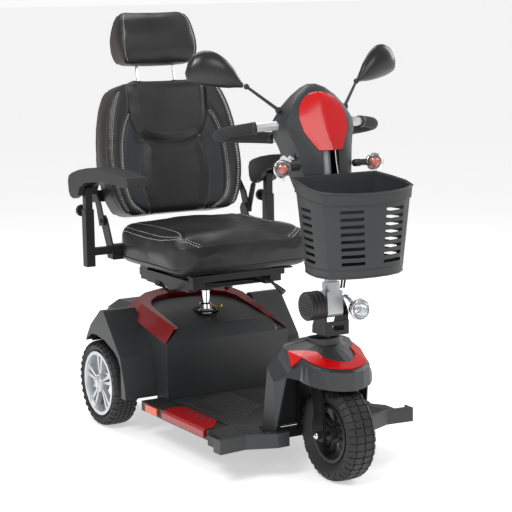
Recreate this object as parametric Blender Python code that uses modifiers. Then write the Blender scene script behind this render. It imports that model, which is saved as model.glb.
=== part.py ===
"""Three-wheel mobility scooter, in metres, +Z up. The front points to -Y and the rider's left is +X."""

import math

import bmesh
import bpy
import numpy as np
from mathutils import Matrix, Vector

# Driving dimensions
WHEEL_R = 0.127
REAR_AXLE_Y = 0.400
REAR_WHEEL_X = 0.256
FRONT_AXLE_Y = -0.452
RAKE = math.radians(12)
NECK = Vector((0, -0.387, 0.365))
TILT_Y = -0.4306
TILT_Z = 0.445
TUBE_LEAN = math.atan(0.0833)
TUBE_R = 0.0165
BODY_HALF = 0.200
FENDER_OUT = 0.300
FLOOR_BOTTOM = 0.091
FLOOR_TOP = 0.119
FLOOR_HALF = 0.262
POST_Y = 0.255
POST_R = 0.015
CUSHION_HALF = 0.224
CUSHION_BOTTOM = 0.488
BACK_Y = 0.430
BACK_Z = 0.605
BACK_LEAN = math.radians(11)
ARM_X = 0.305
ARM_Y = 0.396
ARM_BAR_Z = 0.523
KNOB_Z = 0.640
ARM_PIVOT_Y = 0.425
ARM_PIVOT_Z = 0.708
GRIP_R = 0.0150
BAR_R = 0.0122
SHELL = 0.004
GAP = 0.0004
MIDDLE_Y = 0.0204

for old in list(bpy.data.objects):
    bpy.data.objects.remove(old)

parts = bpy.data.collections.new("mobility_scooter")
helpers = bpy.data.collections.new("helpers")
bpy.context.scene.collection.children.link(parts)
bpy.context.scene.collection.children.link(helpers)

COLOURS = {
    "steel_black": ((0.02, 0.02, 0.022, 1), 0.45, 0.6),
    "plastic_charcoal": ((0.045, 0.047, 0.05, 1), 0.45, 0.0),
    "plastic_black": ((0.014, 0.014, 0.015, 1), 0.5, 0.0),
    "rubber": ((0.02, 0.02, 0.02, 1), 0.8, 0.0),
    "red_metallic": ((0.18, 0.008, 0.012, 1), 0.25, 0.4),
    "red_bright": ((0.6, 0.004, 0.01, 1), 0.15, 0.0),
    "amber": ((0.8, 0.13, 0.02, 1), 0.25, 0.0),
    "silver": ((0.65, 0.66, 0.67, 1), 0.35, 0.7),
    "chrome": ((0.8, 0.8, 0.82, 1), 0.08, 1.0),
    "leather": ((0.02, 0.02, 0.021, 1), 0.42, 0.0),
    "foam": ((0.025, 0.025, 0.027, 1), 0.9, 0.0),
    "clear": ((0.85, 0.87, 0.88, 1), 0.05, 0.0),
    "battery": ((0.06, 0.06, 0.07, 1), 0.5, 0.0),
    "aluminium": ((0.5, 0.5, 0.52, 1), 0.35, 0.9),
}


def material(name, kind):
    colour, rough, metal = COLOURS[kind]
    made = bpy.data.materials.new(name)
    made.use_nodes = True
    shader = made.node_tree.nodes["Principled BSDF"]
    shader.inputs["Base Color"].default_value = colour
    shader.inputs["Roughness"].default_value = rough
    shader.inputs["Metallic"].default_value = metal
    return made


def helper(name, bm, fix=True):
    """A mesh object in the helper collection, hidden from the render."""
    if fix:
        bm.normal_update()
        bmesh.ops.recalc_face_normals(bm, faces=bm.faces)
        if bm.calc_volume(signed=True) < 0:
            bmesh.ops.reverse_faces(bm, faces=bm.faces)
    mesh = bpy.data.meshes.new(name)
    bm.to_mesh(mesh)
    bm.free()
    obj = bpy.data.objects.new(name, mesh)
    helpers.objects.link(obj)
    obj.hide_render = True
    obj.display_type = "WIRE"
    return obj


def box(low, high, name="box"):
    bm = bmesh.new()
    bmesh.ops.create_cube(bm, size=1)
    low, high = Vector(low), Vector(high)
    size = high - low
    for vert in bm.verts:
        vert.co = Vector((vert.co[i] * size[i] + (low[i] + high[i]) / 2 for i in range(3)))
    return helper(name, bm)


def rod(a, b, r, r2=None, sides=20, name="rod"):
    """A cylinder or a cone between two points."""
    a, b = Vector(a), Vector(b)
    along = b - a
    bm = bmesh.new()
    bmesh.ops.create_cone(
        bm,
        cap_ends=True,
        segments=sides,
        radius1=r,
        radius2=r if r2 is None else r2,
        depth=along.length,
    )
    turn = Vector((0, 0, 1)).rotation_difference(along).to_matrix().to_4x4()
    bmesh.ops.transform(bm, matrix=Matrix.Translation((a + b) / 2) @ turn, verts=bm.verts)
    return helper(name, bm)


def prism(points, low, high, axis="x", name="prism"):
    """A flat outline swept along an axis. The outline holds the other two coordinates in order."""
    flat = {"x": (1, 2, 0), "y": (0, 2, 1), "z": (0, 1, 2)}[axis]
    bm = bmesh.new()
    rings = []
    for level in (low, high):
        ring = []
        for point in points:
            co = [0.0, 0.0, 0.0]
            co[flat[0]], co[flat[1]] = point
            co[flat[2]] = level
            ring.append(bm.verts.new(co))
        rings.append(ring)
    count = len(points)
    for i in range(count):
        j = (i + 1) % count
        bm.faces.new((rings[0][i], rings[0][j], rings[1][j], rings[1][i]))
    bm.faces.new(rings[0])
    bm.faces.new(rings[1])
    return helper(name, bm)


def loft(sections, name="loft"):
    """A solid through rings of the same count, capped at both ends."""
    bm = bmesh.new()
    rings = [[bm.verts.new(point) for point in section] for section in sections]
    count = len(rings[0])
    for one, two in zip(rings, rings[1:]):
        for i in range(count):
            j = (i + 1) % count
            bm.faces.new((one[i], one[j], two[j], two[i]))
    bm.faces.new(rings[0])
    bm.faces.new(rings[-1])
    return helper(name, bm)


def turned(profile, steps, name="turned"):
    """A profile of (radius, height) turned about local Z: an open one that meets the axis, or a ring."""
    bm = bmesh.new()
    verts = [bm.verts.new((r, 0, h)) for r, h in profile]
    closed = profile[0][0] > 0
    for i in range(len(verts) if closed else len(verts) - 1):
        bm.edges.new((verts[i], verts[(i + 1) % len(verts)]))
    obj = helper(name, bm, fix=False)
    screw = obj.modifiers.new("turn", "SCREW")
    screw.steps = steps
    screw.render_steps = steps
    screw.use_merge_vertices = True
    screw.merge_threshold = 0.0001
    return obj


def baked(obj, matrix=None):
    """The evaluated mesh of an object as a plain helper, with its normals facing out."""
    bpy.context.view_layer.update()
    graph = bpy.context.evaluated_depsgraph_get()
    mesh = bpy.data.meshes.new_from_object(obj.evaluated_get(graph))
    bm = bmesh.new()
    bm.from_mesh(mesh)
    bmesh.ops.remove_doubles(bm, verts=bm.verts, dist=1e-6)
    bmesh.ops.transform(bm, matrix=matrix or obj.matrix_world, verts=bm.verts)
    name = obj.name
    bpy.data.objects.remove(obj)
    bpy.data.meshes.remove(mesh)
    return helper(name, bm)


def pipe(points, r, cyclic=False, res=2, name="pipe"):
    curve = bpy.data.curves.new(name, "CURVE")
    curve.dimensions = "3D"
    curve.bevel_depth = r
    curve.bevel_resolution = res
    curve.use_fill_caps = True
    spline = curve.splines.new("POLY")
    spline.points.add(len(points) - 1)
    for slot, point in zip(spline.points, points):
        slot.co = (*point, 1)
    spline.use_cyclic_u = cyclic
    obj = bpy.data.objects.new(name, curve)
    helpers.objects.link(obj)
    return baked(obj)


def smooth(points, each, cyclic=False):
    """Points along a rounded path through the given ones."""
    pts = [Vector(p) for p in points]
    count = len(pts)
    out = []
    spans = count if cyclic else count - 1
    for i in range(spans):
        if cyclic:
            a, b, c, d = (pts[(i + k) % count] for k in (-1, 0, 1, 2))
        else:
            a, b, c, d = (pts[min(max(i + k, 0), count - 1)] for k in (-1, 0, 1, 2))
        for step in range(each):
            t = step / each
            out.append(
                0.5
                * (
                    2 * b
                    + (c - a) * t
                    + (2 * a - 5 * b + 4 * c - d) * t * t
                    + (3 * b - a - 3 * c + d) * t * t * t
                )
            )
    if not cyclic:
        out.append(pts[-1])
    return out


def flip(obj):
    """A copy of a helper mirrored to the other side in X."""
    bm = bmesh.new()
    bm.from_mesh(obj.data)
    for vert in bm.verts:
        vert.co.x = -vert.co.x
    return helper(obj.name, bm)


def node(name, kind, base, adds=(), cuts=(), origin=(0, 0, 0)):
    """Makes a helper the named piece, with the other helpers joined to it or cut from it."""
    helpers.objects.unlink(base)
    parts.objects.link(base)
    base.name = name
    base.data.name = name
    base.hide_render = False
    base.display_type = "TEXTURED"
    for operation, tools in (("UNION", adds), ("DIFFERENCE", cuts)):
        for tool in tools:
            change = base.modifiers.new(operation.lower(), "BOOLEAN")
            change.operation = operation
            change.solver = "EXACT"
            change.object = tool
    base.data.transform(Matrix.Translation(-Vector(origin)))
    base.location = origin
    base.data.materials.clear()
    base.data.materials.append(material(name, kind))
    return base


def mirrored(points):
    """A half outline with x >= 0 from rear centre to front centre, closed on the other side."""
    return list(points) + [(-x, y) for x, y in reversed(points) if abs(x) > 1e-9]


# Steering geometry
UP_STEER = Vector((0, math.sin(RAKE), math.cos(RAKE)))


def on_steer(z):
    return NECK + UP_STEER * ((z - NECK.z) / UP_STEER.z)


UP_TUBE = Vector((0, math.sin(TUBE_LEAN), math.cos(TUBE_LEAN)))


def on_tube(z, x=0.0, ahead=0.0):
    point = Vector((0, TILT_Y, TILT_Z)) + UP_TUBE * ((z - TILT_Z) / UP_TUBE.z)
    return (x, point.y - ahead, z)


# Frame: rails, cross members, post socket, front upright and head tube
rail = box((0.075, -0.306, 0.089), (0.105, 0.565, 0.1145))
crosses = [
    box((-0.104, y0, 0.0892), (0.104, y1, 0.1143))
    for y0, y1 in ((-0.3095, -0.288), (-0.06, -0.03), (0.236, 0.274), (0.548, 0.5655))
]
neck_plate = prism(
    ((-0.301, 0.262), (-0.301, 0.322), (-0.382, 0.344), (-0.386, 0.302)), -0.012, 0.012
)
node(
    "frame",
    "steel_black",
    rail,
    adds=[flip(rail)]
    + crosses
    + [
        box((-0.03, -0.3125, 0.1), (0.03, -0.2978, 0.3225)),
        neck_plate,
        rod(on_steer(0.297), on_steer(0.349), 0.0235, sides=24),
        rod((0, POST_Y, 0.0895), (0, POST_Y, 0.321), 0.022, sides=24),
    ],
    cuts=[
        rod(on_steer(0.27), on_steer(0.37), 0.0168, sides=24),
        rod((0, POST_Y, 0.095), (0, POST_Y, 0.34), POST_R + GAP, sides=24),
    ],
)

# Floor tray, open below, with its mat and side inserts
TRAY = [
    (0, 0.215),
    (0.188, 0.215),
    (0.188, 0.168),
    (FLOOR_HALF, 0.168),
    (FLOOR_HALF, -0.228),
    (0.284, -0.262),
    (0.2835, -0.3245),
    (0.297, -0.3275),
    (0.297, -0.3442),
    (0.222, -0.3384),
    (0.1495, -0.3652),
    (0.1495, -0.312),
    (0.132, -0.2865),
    (0, -0.2865),
]
HOLLOW = [
    (0, 0.25),
    (0.184, 0.25),
    (0.184, 0.164),
    (FLOOR_HALF - SHELL, 0.164),
    (FLOOR_HALF - SHELL, -0.226),
    (0.279, -0.262),
    (0.279, -0.334),
    (0.222, -0.334),
    (0.154, -0.359),
    (0.154, -0.311),
    (0.135, -0.282),
    (0.118, -0.282),
    (0.118, -0.30),
    (0, -0.30),
]
node(
    "floor_pan",
    "plastic_black",
    prism(mirrored(TRAY), FLOOR_BOTTOM, FLOOR_TOP, "z"),
    cuts=[
        prism(mirrored(HOLLOW), FLOOR_BOTTOM - 0.01, FLOOR_TOP - SHELL, "z"),
        rod((0, POST_Y, 0.1), (0, POST_Y, 0.14), 0.026, sides=24),
        box((-0.031, -0.32, 0.08), (0.031, -0.2898, 0.13)),
    ],
)
MAT = [
    (0, 0.1155),
    (0.194, 0.1155),
    (0.194, -0.214),
    (0.248, -0.238),
    (0.272, -0.268),
    (0.276, -0.326),
    (0.222, -0.331),
    (0.155, -0.355),
    (0.155, -0.309),
    (0.136, -0.2785),
    (0, -0.2785),
]
node("floor_mat", "rubber", prism(mirrored(MAT), FLOOR_TOP + GAP, FLOOR_TOP + 0.0035, "z"))


INSERT = (
    (0.1985, 0.1194),
    (0.1985, 0.1236),
    (0.2430, 0.1236),
    (0.2640, 0.1212),
    (0.2688, 0.1150),
    (0.2688, 0.0975),
    (0.2625, 0.0975),
    (0.2625, 0.1194),
)
corner_front = prism(((0.1910, -0.150), (0.23975, -0.215), (0.1910, -0.215)), 0.10, 0.14, "z")
corner_rear = prism(((0.1960, 0.010), (0.2085, 0.035), (0.1960, 0.035)), 0.10, 0.14, "z")
insert = prism(INSERT, -0.210, 0.030, "y")
insert_right = flip(insert)
node("floor_insert_left", "red_bright", insert, cuts=[corner_front, corner_rear])
node("floor_insert_right", "red_bright", insert_right, cuts=[flip(corner_front), flip(corner_rear)])
lens = box((0.2624, 0.065, 0.0945), (0.2675, 0.135, 0.1165))
lens_right = flip(lens)
node("reflector_left", "amber", lens)
node("reflector_right", "amber", lens_right)

# Corner bumpers
WING = [
    (0.299, -0.329),
    (0.305, -0.329),
    (0.304, -0.366),
    (0.223, -0.3575),
    (0.147, -0.3905),
    (0.109, -0.3895),
    (0.109, -0.3765),
    (0.147, -0.3745),
    (0.2225, -0.3415),
    (0.299, -0.3472),
]
wing = prism(WING, FLOOR_BOTTOM, 0.131, "z")
wing_right = flip(wing)
node("bumper_left", "plastic_charcoal", wing)
node("bumper_right", "plastic_charcoal", wing_right)


# Rear body: a hollow cover with fenders, open below
def body_sections(inset, bottom):
    rows = (
        (0.120, 0.200, 0.2829, 0.161, 0.283),
        (0.148, 0.200, 0.289, 0.161, 0.319),
        (0.255, 0.200, 0.309, 0.165, 0.338),
        (0.380, 0.200, 0.333, 0.168, 0.356),
        (0.500, 0.200, 0.333, 0.165, 0.352),
        (0.560, 0.196, 0.262, 0.150, 0.290),
        (0.578, 0.192, 0.200, 0.146, 0.205),
    )
    out = []
    for i, (y, x, side, top_x, top) in enumerate(rows):
        if inset:
            y += (inset, 0, 0, 0, 0, -inset * 0.4, -inset)[i]
            x -= inset
            side -= inset * 0.7
            top_x -= inset * 0.5
            top -= inset if i else inset * 1.2
            side = min(side, top - 0.0001)
        out.append(
            [
                (-x, y, bottom),
                (-x, y, side),
                (-top_x, y, top),
                (top_x, y, top),
                (x, y, side),
                (x, y, bottom),
            ]
        )
    return out


FENDER = [
    (0.191, 0.1195),
    (0.194, 0.150),
    (0.221, 0.238),
    (0.325, 0.357),
    (0.345, 0.357),
    (0.414, 0.304),
    (0.441, 0.268),
    (0.457, 0.240),
    (0.457, 0.1195),
]
FENDER_IN = [
    (0.195, 0.110),
    (0.198, 0.149),
    (0.2246, 0.236),
    (0.3268, 0.3535),
    (0.3437, 0.3535),
    (0.4115, 0.3015),
    (0.438, 0.266),
    (0.4505, 0.246),
    (0.470, 0.246),
    (0.470, 0.110),
]
ARCH = [
    (0.219, 0.100),
    (0.219, 0.205),
    (0.236, 0.234),
    (0.262, 0.250),
    (0.319, 0.271),
    (0.374, 0.279),
    (0.410, 0.277),
    (0.436, 0.262),
    (0.470, 0.236),
    (0.470, 0.100),
]
fender = prism(FENDER, 0.196, FENDER_OUT, "x")
fender_in = prism(FENDER_IN, 0.204, FENDER_OUT - SHELL, "x")
arch = prism(ARCH, 0.28, 0.32, "x")
hub_slot = box((0.15, REAR_AXLE_Y - 0.03, 0.10), (0.25, REAR_AXLE_Y + 0.03, 0.165))


def trim_sections(grow, thin=0.0):
    """The horseshoe trim as rings from the right tip round the back to the left tip."""
    half = (
        ((0.2040, 0.123, 0.2830), (0.1640, 0.140, 0.3225), (0.150, 0.146, 0.3200), (0.165, 0.150, 0.298)),
        ((0.2055, 0.190, 0.2980), (0.1665, 0.190, 0.3345), (0.149, 0.192, 0.3315), (0.160, 0.190, 0.306)),
        ((0.2065, 0.260, 0.3135), (0.1690, 0.258, 0.3485), (0.147, 0.258, 0.3445), (0.156, 0.255, 0.318)),
        ((0.2065, 0.335, 0.3310), (0.1710, 0.330, 0.3645), (0.143, 0.325, 0.3585), (0.150, 0.325, 0.330)),
        ((0.1980, 0.395, 0.3410), (0.1580, 0.382, 0.3735), (0.126, 0.360, 0.3655), (0.132, 0.370, 0.334)),
        ((0.1500, 0.445, 0.3460), (0.1150, 0.420, 0.3785), (0.092, 0.390, 0.3695), (0.096, 0.405, 0.336)),
        ((0.0600, 0.472, 0.3480), (0.0480, 0.445, 0.3815), (0.040, 0.412, 0.3715), (0.042, 0.425, 0.337)),
    )
    rings = []
    for side in (-1, 1):
        rows = half if side < 0 else half[::-1]
        for row in rows:
            centre = sum((Vector(p) for p in row), Vector()) / 4
            ring = []
            for point in row:
                offset = Vector(point) - centre
                grown = centre + offset * (1 + grow / offset.length)
                ring.append((side * grown.x, grown.y, grown.z))
            if thin:
                for point in row[::-1]:
                    inner = Vector(point) + (centre - Vector(point)).normalized() * thin
                    ring.append((side * inner.x, inner.y, inner.z))
            rings.append(ring)
    if grow:
        rings[0] = [(x, y - grow * 2, z) for x, y, z in rings[0]]
        rings[-1] = [(x, y - grow * 2, z) for x, y, z in rings[-1]]
    return rings


node(
    "rear_body",
    "plastic_charcoal",
    loft(body_sections(0, FLOOR_TOP + GAP)),
    adds=[fender, flip(fender)],
    cuts=[
        loft(body_sections(SHELL, 0.10)),
        fender_in,
        flip(fender_in),
        arch,
        flip(arch),
        hub_slot,
        flip(hub_slot),
        rod((0, POST_Y, 0.30), (0, POST_Y, 0.36), 0.038, sides=28),
        loft(trim_sections(0.0015), "trim_seat"),
    ],
)
node("body_trim", "red_metallic", loft(trim_sections(0, 0.0045)))


# Front shroud: a ring of stations round the steering neck, from rear centre to front centre
HALF_RING = (
    ((0, -0.344, 0.364), (0, -0.328, 0.362), (0, -0.308, 0.353), (0, -0.290, 0.338), (0, -0.284, 0.1215)),
    (
        (-0.022, -0.350, 0.364),
        (-0.052, -0.333, 0.361),
        (-0.073, -0.318, 0.347),
        (-0.092, -0.302, 0.322),
        (-0.105, -0.287, 0.1215),
    ),
    (
        (-0.037, -0.366, 0.364),
        (-0.092, -0.343, 0.354),
        (-0.111, -0.337, 0.334),
        (-0.136, -0.324, 0.292),
        (-0.1455, -0.310, 0.1215),
    ),
    (
        (-0.043, -0.387, 0.3635),
        (-0.105, -0.350, 0.348),
        (-0.121, -0.352, 0.325),
        (-0.1415, -0.366, 0.262),
        (-0.1445, -0.372, 0.1260),
    ),
    (
        (-0.040, -0.401, 0.3625),
        (-0.098, -0.371, 0.341),
        (-0.105, -0.4015, 0.302),
        (-0.123, -0.408, 0.290),
        (-0.129, -0.408, 0.281),
    ),
    (
        (-0.034, -0.414, 0.361),
        (-0.0735, -0.409, 0.3435),
        (-0.089, -0.4245, 0.3296),
        (-0.095, -0.432, 0.316),
        (-0.111, -0.445, 0.2775),
    ),
    (
        (-0.024, -0.423, 0.358),
        (-0.0495, -0.435, 0.3410),
        (-0.078, -0.461, 0.317),
        (-0.084, -0.467, 0.311),
        (-0.097, -0.470, 0.266),
    ),
    (
        (-0.012, -0.428, 0.356),
        (-0.0450, -0.464, 0.328),
        (-0.057, -0.502, 0.3115),
        (-0.0605, -0.509, 0.305),
        (-0.062, -0.511, 0.257),
    ),
    ((0, -0.430, 0.355), (0, -0.498, 0.318), (0, -0.524, 0.3065), (0, -0.533, 0.300), (0, -0.532, 0.252)),
)


def ring_stations():
    half = [[Vector(p) for p in row] for row in HALF_RING]
    front = half[5:]
    dense = []
    for i in range(len(front) - 1):
        a = front[i - 1] if i else front[0]
        b, c = front[i], front[i + 1]
        d = front[i + 2] if i + 2 < len(front) else [Vector((-p.x, p.y, p.z)) for p in front[-2]]
        dense.append(b)
        dense.append([smooth((a[k], b[k], c[k], d[k]), 2)[3] for k in range(5)])
    dense.append(front[-1])
    left = half[:5] + dense
    right = [[Vector((-p.x, p.y, p.z)) for p in row] for row in left[-2:0:-1]]
    return left, left + right


def split(quad, rising):
    """A four-sided face as two triangles, along the diagonal from its first corner or its second."""
    a, b, c, d = quad
    return ((a, b, c), (a, c, d)) if rising else ((a, b, d), (b, c, d))


def shroud_shell(thickness, share):
    """The canopy as a shell. The share is how far it grows inward: -1 is all of it."""
    bm = bmesh.new()
    left, ring = ring_stations()
    rows = [[bm.verts.new(p) for p in row] for row in ring]
    for i in range(len(rows)):
        one, two = rows[i], rows[(i + 1) % len(rows)]
        for k in range(4):
            for corners in split((one[k], two[k], two[k + 1], one[k + 1]), i < len(left) - 1):
                bm.faces.new(corners)
    bmesh.ops.recalc_face_normals(bm, faces=bm.faces)
    top = max(bm.faces, key=lambda face: face.calc_center_median().z)
    if top.normal.z < 0:
        bmesh.ops.reverse_faces(bm, faces=bm.faces)
    obj = helper("shroud_surface", bm, fix=False)
    solid = obj.modifiers.new("shell", "SOLIDIFY")
    solid.thickness = thickness
    solid.offset = share
    return baked(obj)


collar = baked(
    turned(((0.040, -0.010), (0.046, -0.010), (0.0475, 0.006), (0.040, 0.006)), 28, "collar"),
    Matrix.Translation(NECK + Vector((0, 0, -0.0020))) @ Matrix.Rotation(-RAKE * 0.3, 4, "X"),
)
node("front_shroud", "plastic_charcoal", shroud_shell(SHELL, -1), adds=[collar])


def shroud_band():
    """A raised strip on the canopy between its second and third rows, in the canopy's own triangles."""
    left, ring = ring_stations()
    rows = left[4:] + [[Vector((-p.x, p.y, p.z)) for p in row] for row in left[-2:3:-1]]
    centre = Vector((0, -0.42, 0.20))
    bm = bmesh.new()
    rings = []
    for row in rows:
        a, b = row[1].lerp(row[2], 0.03), row[1].lerp(row[2], 0.97)
        away = ((a + b) / 2 - centre).normalized()
        across = (b - a).normalized()
        away = (away - across * away.dot(across)).normalized()
        corners = (a - away * 0.0010, b - away * 0.0010, b + away * 0.0046, a + away * 0.0046)
        rings.append([bm.verts.new(corner) for corner in corners])
    for n, (one, two) in enumerate(zip(rings, rings[1:])):
        before_middle = n < len(left) - 5
        for i in range(4):
            j = (i + 1) % 4
            for corners in split((one[i], one[j], two[j], two[i]), (i == 0) == before_middle):
                bm.faces.new(corners)
    bm.faces.new(rings[0])
    bm.faces.new(rings[-1])
    return helper("band", bm)


node("shroud_band", "red_bright", shroud_band(), cuts=[shroud_shell(0.016, -0.89)])

# Drive unit and batteries
node(
    "transaxle",
    "aluminium",
    rod((-0.066, REAR_AXLE_Y, WHEEL_R), (0.066, REAR_AXLE_Y, WHEEL_R), 0.044, sides=28),
    adds=[
        rod((-0.207, REAR_AXLE_Y, WHEEL_R), (0.207, REAR_AXLE_Y, WHEEL_R), 0.0115, sides=16),
        rod((0, REAR_AXLE_Y, WHEEL_R), (0, 0.512, WHEEL_R), 0.040, sides=28),
        rod((0, 0.505, WHEEL_R), (0, 0.540, WHEEL_R), 0.031, sides=28),
    ],
)
cell = box((0.032, 0.136, 0.1235), (0.165, 0.331, 0.283))
tray = box((-0.1655, 0.140, 0.1212), (0.1655, 0.225, 0.1240))
node("battery_pack", "battery", cell, adds=[flip(cell), tray])


# Wheels
def wheel_turn(x, y, side=1):
    turn = Matrix.Rotation(math.radians(90 * side), 4, "Y")
    return Matrix.Translation((x, y, WHEEL_R)) @ turn


def both_sides(half):
    """A profile from the inner edge out to the middle, closed by its mirror in width."""
    return list(half) + [(r, -w) for r, w in reversed(half) if abs(w) > 1e-9]


REAR_TYRE = (
    (0.0925, 0.028),
    (0.0985, 0.031),
    (0.109, 0.038),
    (0.1205, 0.036),
    (0.1265, 0.026),
    (0.127, 0.0),
)
FRONT_TYRE = (
    (0.0765, 0.025),
    (0.085, 0.031),
    (0.103, 0.040),
    (0.119, 0.037),
    (0.1262, 0.026),
    (0.127, 0.0),
)


def tyre(half, x, y):
    return baked(turned(both_sides(half), 30, "tyre"), wheel_turn(x, y))


def rim(outer, lip, width, x, y, side, pairs, spread, hub, disc):
    """A turned barrel with a hub and straight spokes, as a base and what joins it."""
    barrel = baked(
        turned(
            (
                (outer - 0.006, width),
                (lip, width),
                (outer, width - 0.0045),
                (outer, -width + 0.0045),
                (lip, -width),
                (outer - 0.006, -width),
                (outer - 0.010, -width + 0.012),
                (outer - 0.010, width - 0.012),
            ),
            24,
            "barrel",
        ),
        wheel_turn(x, y, side),
    )
    bm = bmesh.new()
    face = side * disc
    for i in range(pairs):
        for lean in (-spread, spread):
            angle = 2 * math.pi * i / pairs + lean
            made = bmesh.ops.create_cube(bm, size=1)["verts"]
            for vert in made:
                far = vert.co.z > 0
                radius = outer - 0.004 if far else hub * 0.93
                across = vert.co.y * (0.0125 if far else 0.0058)
                deep = x + face + side * vert.co.x * 0.014
                vert.co = Vector(
                    (
                        deep,
                        y + radius * math.sin(angle) + across * math.cos(angle),
                        WHEEL_R + radius * math.cos(angle) - across * math.sin(angle),
                    )
                )
    spokes = helper("spokes", bm)
    core = rod((x + face - 0.012, y, WHEEL_R), (x + face + 0.012, y, WHEEL_R), hub, sides=16)
    return barrel, [core, spokes]


for side, word in ((1, "left"), (-1, "right")):
    x = side * REAR_WHEEL_X
    centre = (x, REAR_AXLE_Y, WHEEL_R)
    barrel, joined = rim(0.0915, 0.0955, 0.0325, x, REAR_AXLE_Y, side, 5, 0.15, 0.026, 0.018)
    inner, outer = (side * 0.2085, REAR_AXLE_Y, WHEEL_R), (side * 0.27, REAR_AXLE_Y, WHEEL_R)
    stub = rod(inner, outer, 0.0115, sides=16)
    node("rear_rim_" + word, "silver", barrel, adds=joined + [stub], origin=centre)
    node("rear_tyre_" + word, "rubber", tyre(REAR_TYRE, x, REAR_AXLE_Y), origin=centre)
centre = (0, FRONT_AXLE_Y, WHEEL_R)
barrel, joined = rim(0.0755, 0.0785, 0.0305, 0, FRONT_AXLE_Y, -1, 5, 0.18, 0.024, 0.0)
axle_hole = rod((-0.06, FRONT_AXLE_Y, WHEEL_R), (0.06, FRONT_AXLE_Y, WHEEL_R), 0.0068, sides=20)
core_long = rod((-0.030, FRONT_AXLE_Y, WHEEL_R), (0.030, FRONT_AXLE_Y, WHEEL_R), 0.018, sides=24)
node("front_rim", "plastic_black", barrel, adds=joined + [core_long], cuts=[axle_hole], origin=centre)
node("front_tyre", "rubber", tyre(FRONT_TYRE, 0, FRONT_AXLE_Y), origin=centre)

# Fork with axle, stem and the tilt bracket above the shroud
LEG = (
    (-0.470, 0.127),
    (-0.464, 0.112),
    (-0.452, 0.108),
    (-0.440, 0.112),
    (-0.434, 0.127),
    (-0.404, 0.276),
    (-0.446, 0.276),
)
leg = prism(LEG, 0.046, 0.056)
crown = box((-0.056, -0.448, 0.2632), (0.056, -0.386, 0.2795))
EAR = (
    (-0.452, 0.386),
    (-0.386, 0.386),
    (-0.388, 0.405),
    (-0.409, 0.452),
    (-0.420, 0.461),
    (-0.436, 0.463),
    (-0.447, 0.455),
    (-0.452, 0.440),
)
ear = prism(EAR, 0.0305, 0.0350)
BASE = (
    (-0.0345, -0.4515),
    (0.0345, -0.4515),
    (0.0345, -0.386),
    (0.018, -0.3655),
    (-0.018, -0.3655),
    (-0.0345, -0.386),
)
slot = box((-0.016, -0.47, 0.397), (0.020, -0.44, 0.411))
node(
    "fork",
    "steel_black",
    crown,
    adds=[
        leg,
        flip(leg),
        rod((-0.072, FRONT_AXLE_Y, WHEEL_R), (0.072, FRONT_AXLE_Y, WHEEL_R), 0.006, sides=16),
        rod((0.055, FRONT_AXLE_Y, WHEEL_R), (0.066, FRONT_AXLE_Y, WHEEL_R), 0.0105, sides=6),
        rod((-0.066, FRONT_AXLE_Y, WHEEL_R), (-0.055, FRONT_AXLE_Y, WHEEL_R), 0.0105, sides=6),
        rod(on_steer(0.270), on_steer(0.388), 0.016, sides=24),
        prism(BASE, 0.3845, 0.390, "z"),
        box((-0.0342, -0.4560, 0.3850), (0.0342, -0.4510, 0.422)),
        ear,
        flip(ear),
        rod((-0.038, TILT_Y, TILT_Z), (0.038, TILT_Y, TILT_Z), 0.006, sides=16),
    ],
    cuts=[slot],
    origin=on_steer(0.365),
)

# Tiller column
LUG_R = 0.016
turns = np.linspace(math.pi, 2 * math.pi, 9)
lug = [(TILT_Y + LUG_R * math.cos(a), TILT_Z + LUG_R * math.sin(a)) for a in turns]
lug += [(TILT_Y + 0.020, 0.498), (TILT_Y - 0.013, 0.498)]
node(
    "tiller_tube",
    "aluminium",
    rod(on_tube(0.482), on_tube(0.886), TUBE_R, sides=24),
    adds=[
        prism(lug, -0.0235, 0.0235),
        rod(on_tube(0.489), on_tube(0.521), 0.0225, sides=24),
        box((-0.018, -0.4475, 0.612), (0.018, -0.4200, 0.640)),
        box((-0.045, -0.4475, 0.720), (0.045, -0.4080, 0.745)),
    ],
    cuts=[rod((-0.04, TILT_Y, TILT_Z), (0.04, TILT_Y, TILT_Z), 0.0064, sides=16)],
    origin=(0, TILT_Y, TILT_Z),
)
LEVER = ((0.0285, -0.413, 0.487), (0.046, -0.405, 0.470), (0.060, -0.402, 0.445), (0.066, -0.402, 0.425))
lever = pipe(smooth(LEVER, 2), 0.004, res=1)
pivot = rod((0.0245, -0.413, 0.487), (0.0335, -0.413, 0.487), 0.008, sides=16)
node("tilt_lever", "plastic_black", pivot, adds=[lever], origin=(0.029, -0.413, 0.487))
node(
    "horn_pod",
    "plastic_black",
    rod((-0.0840, -0.434, 0.466), (-0.0410, -0.434, 0.466), 0.036, sides=24),
    adds=[rod(on_tube(0.480, -0.043), on_tube(0.480, -0.024), 0.006, sides=12)],
    origin=on_tube(0.480, -0.03),
)

LAMP = Vector((0.050, -0.470, 0.452))
bowl = baked(
    turned(
        (
            (0, -0.017),
            (0.012, -0.017),
            (0.021, -0.008),
            (0.0265, 0.010),
            (0.0272, 0.017),
            (0.0255, 0.017),
            (0.0245, 0.009),
            (0.019, -0.004),
            (0.010, -0.011),
            (0, -0.013),
        ),
        24,
        "bowl",
    ),
    Matrix.Translation(LAMP) @ Matrix.Rotation(math.radians(90), 4, "X"),
)
stub = pipe(smooth((on_tube(0.480, 0.0268), (0.040, -0.438, 0.480), (0.050, -0.450, 0.462)), 3), 0.005)
node("headlamp", "chrome", bowl, adds=[stub], origin=on_tube(0.480, 0.03))
front = LAMP + Vector((0, -0.0152, 0))
node("headlamp_lens", "clear", rod(front, front + Vector((0, -0.0028, 0)), 0.0249, sides=28))


# Basket
BASKET_Y = -0.535


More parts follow.
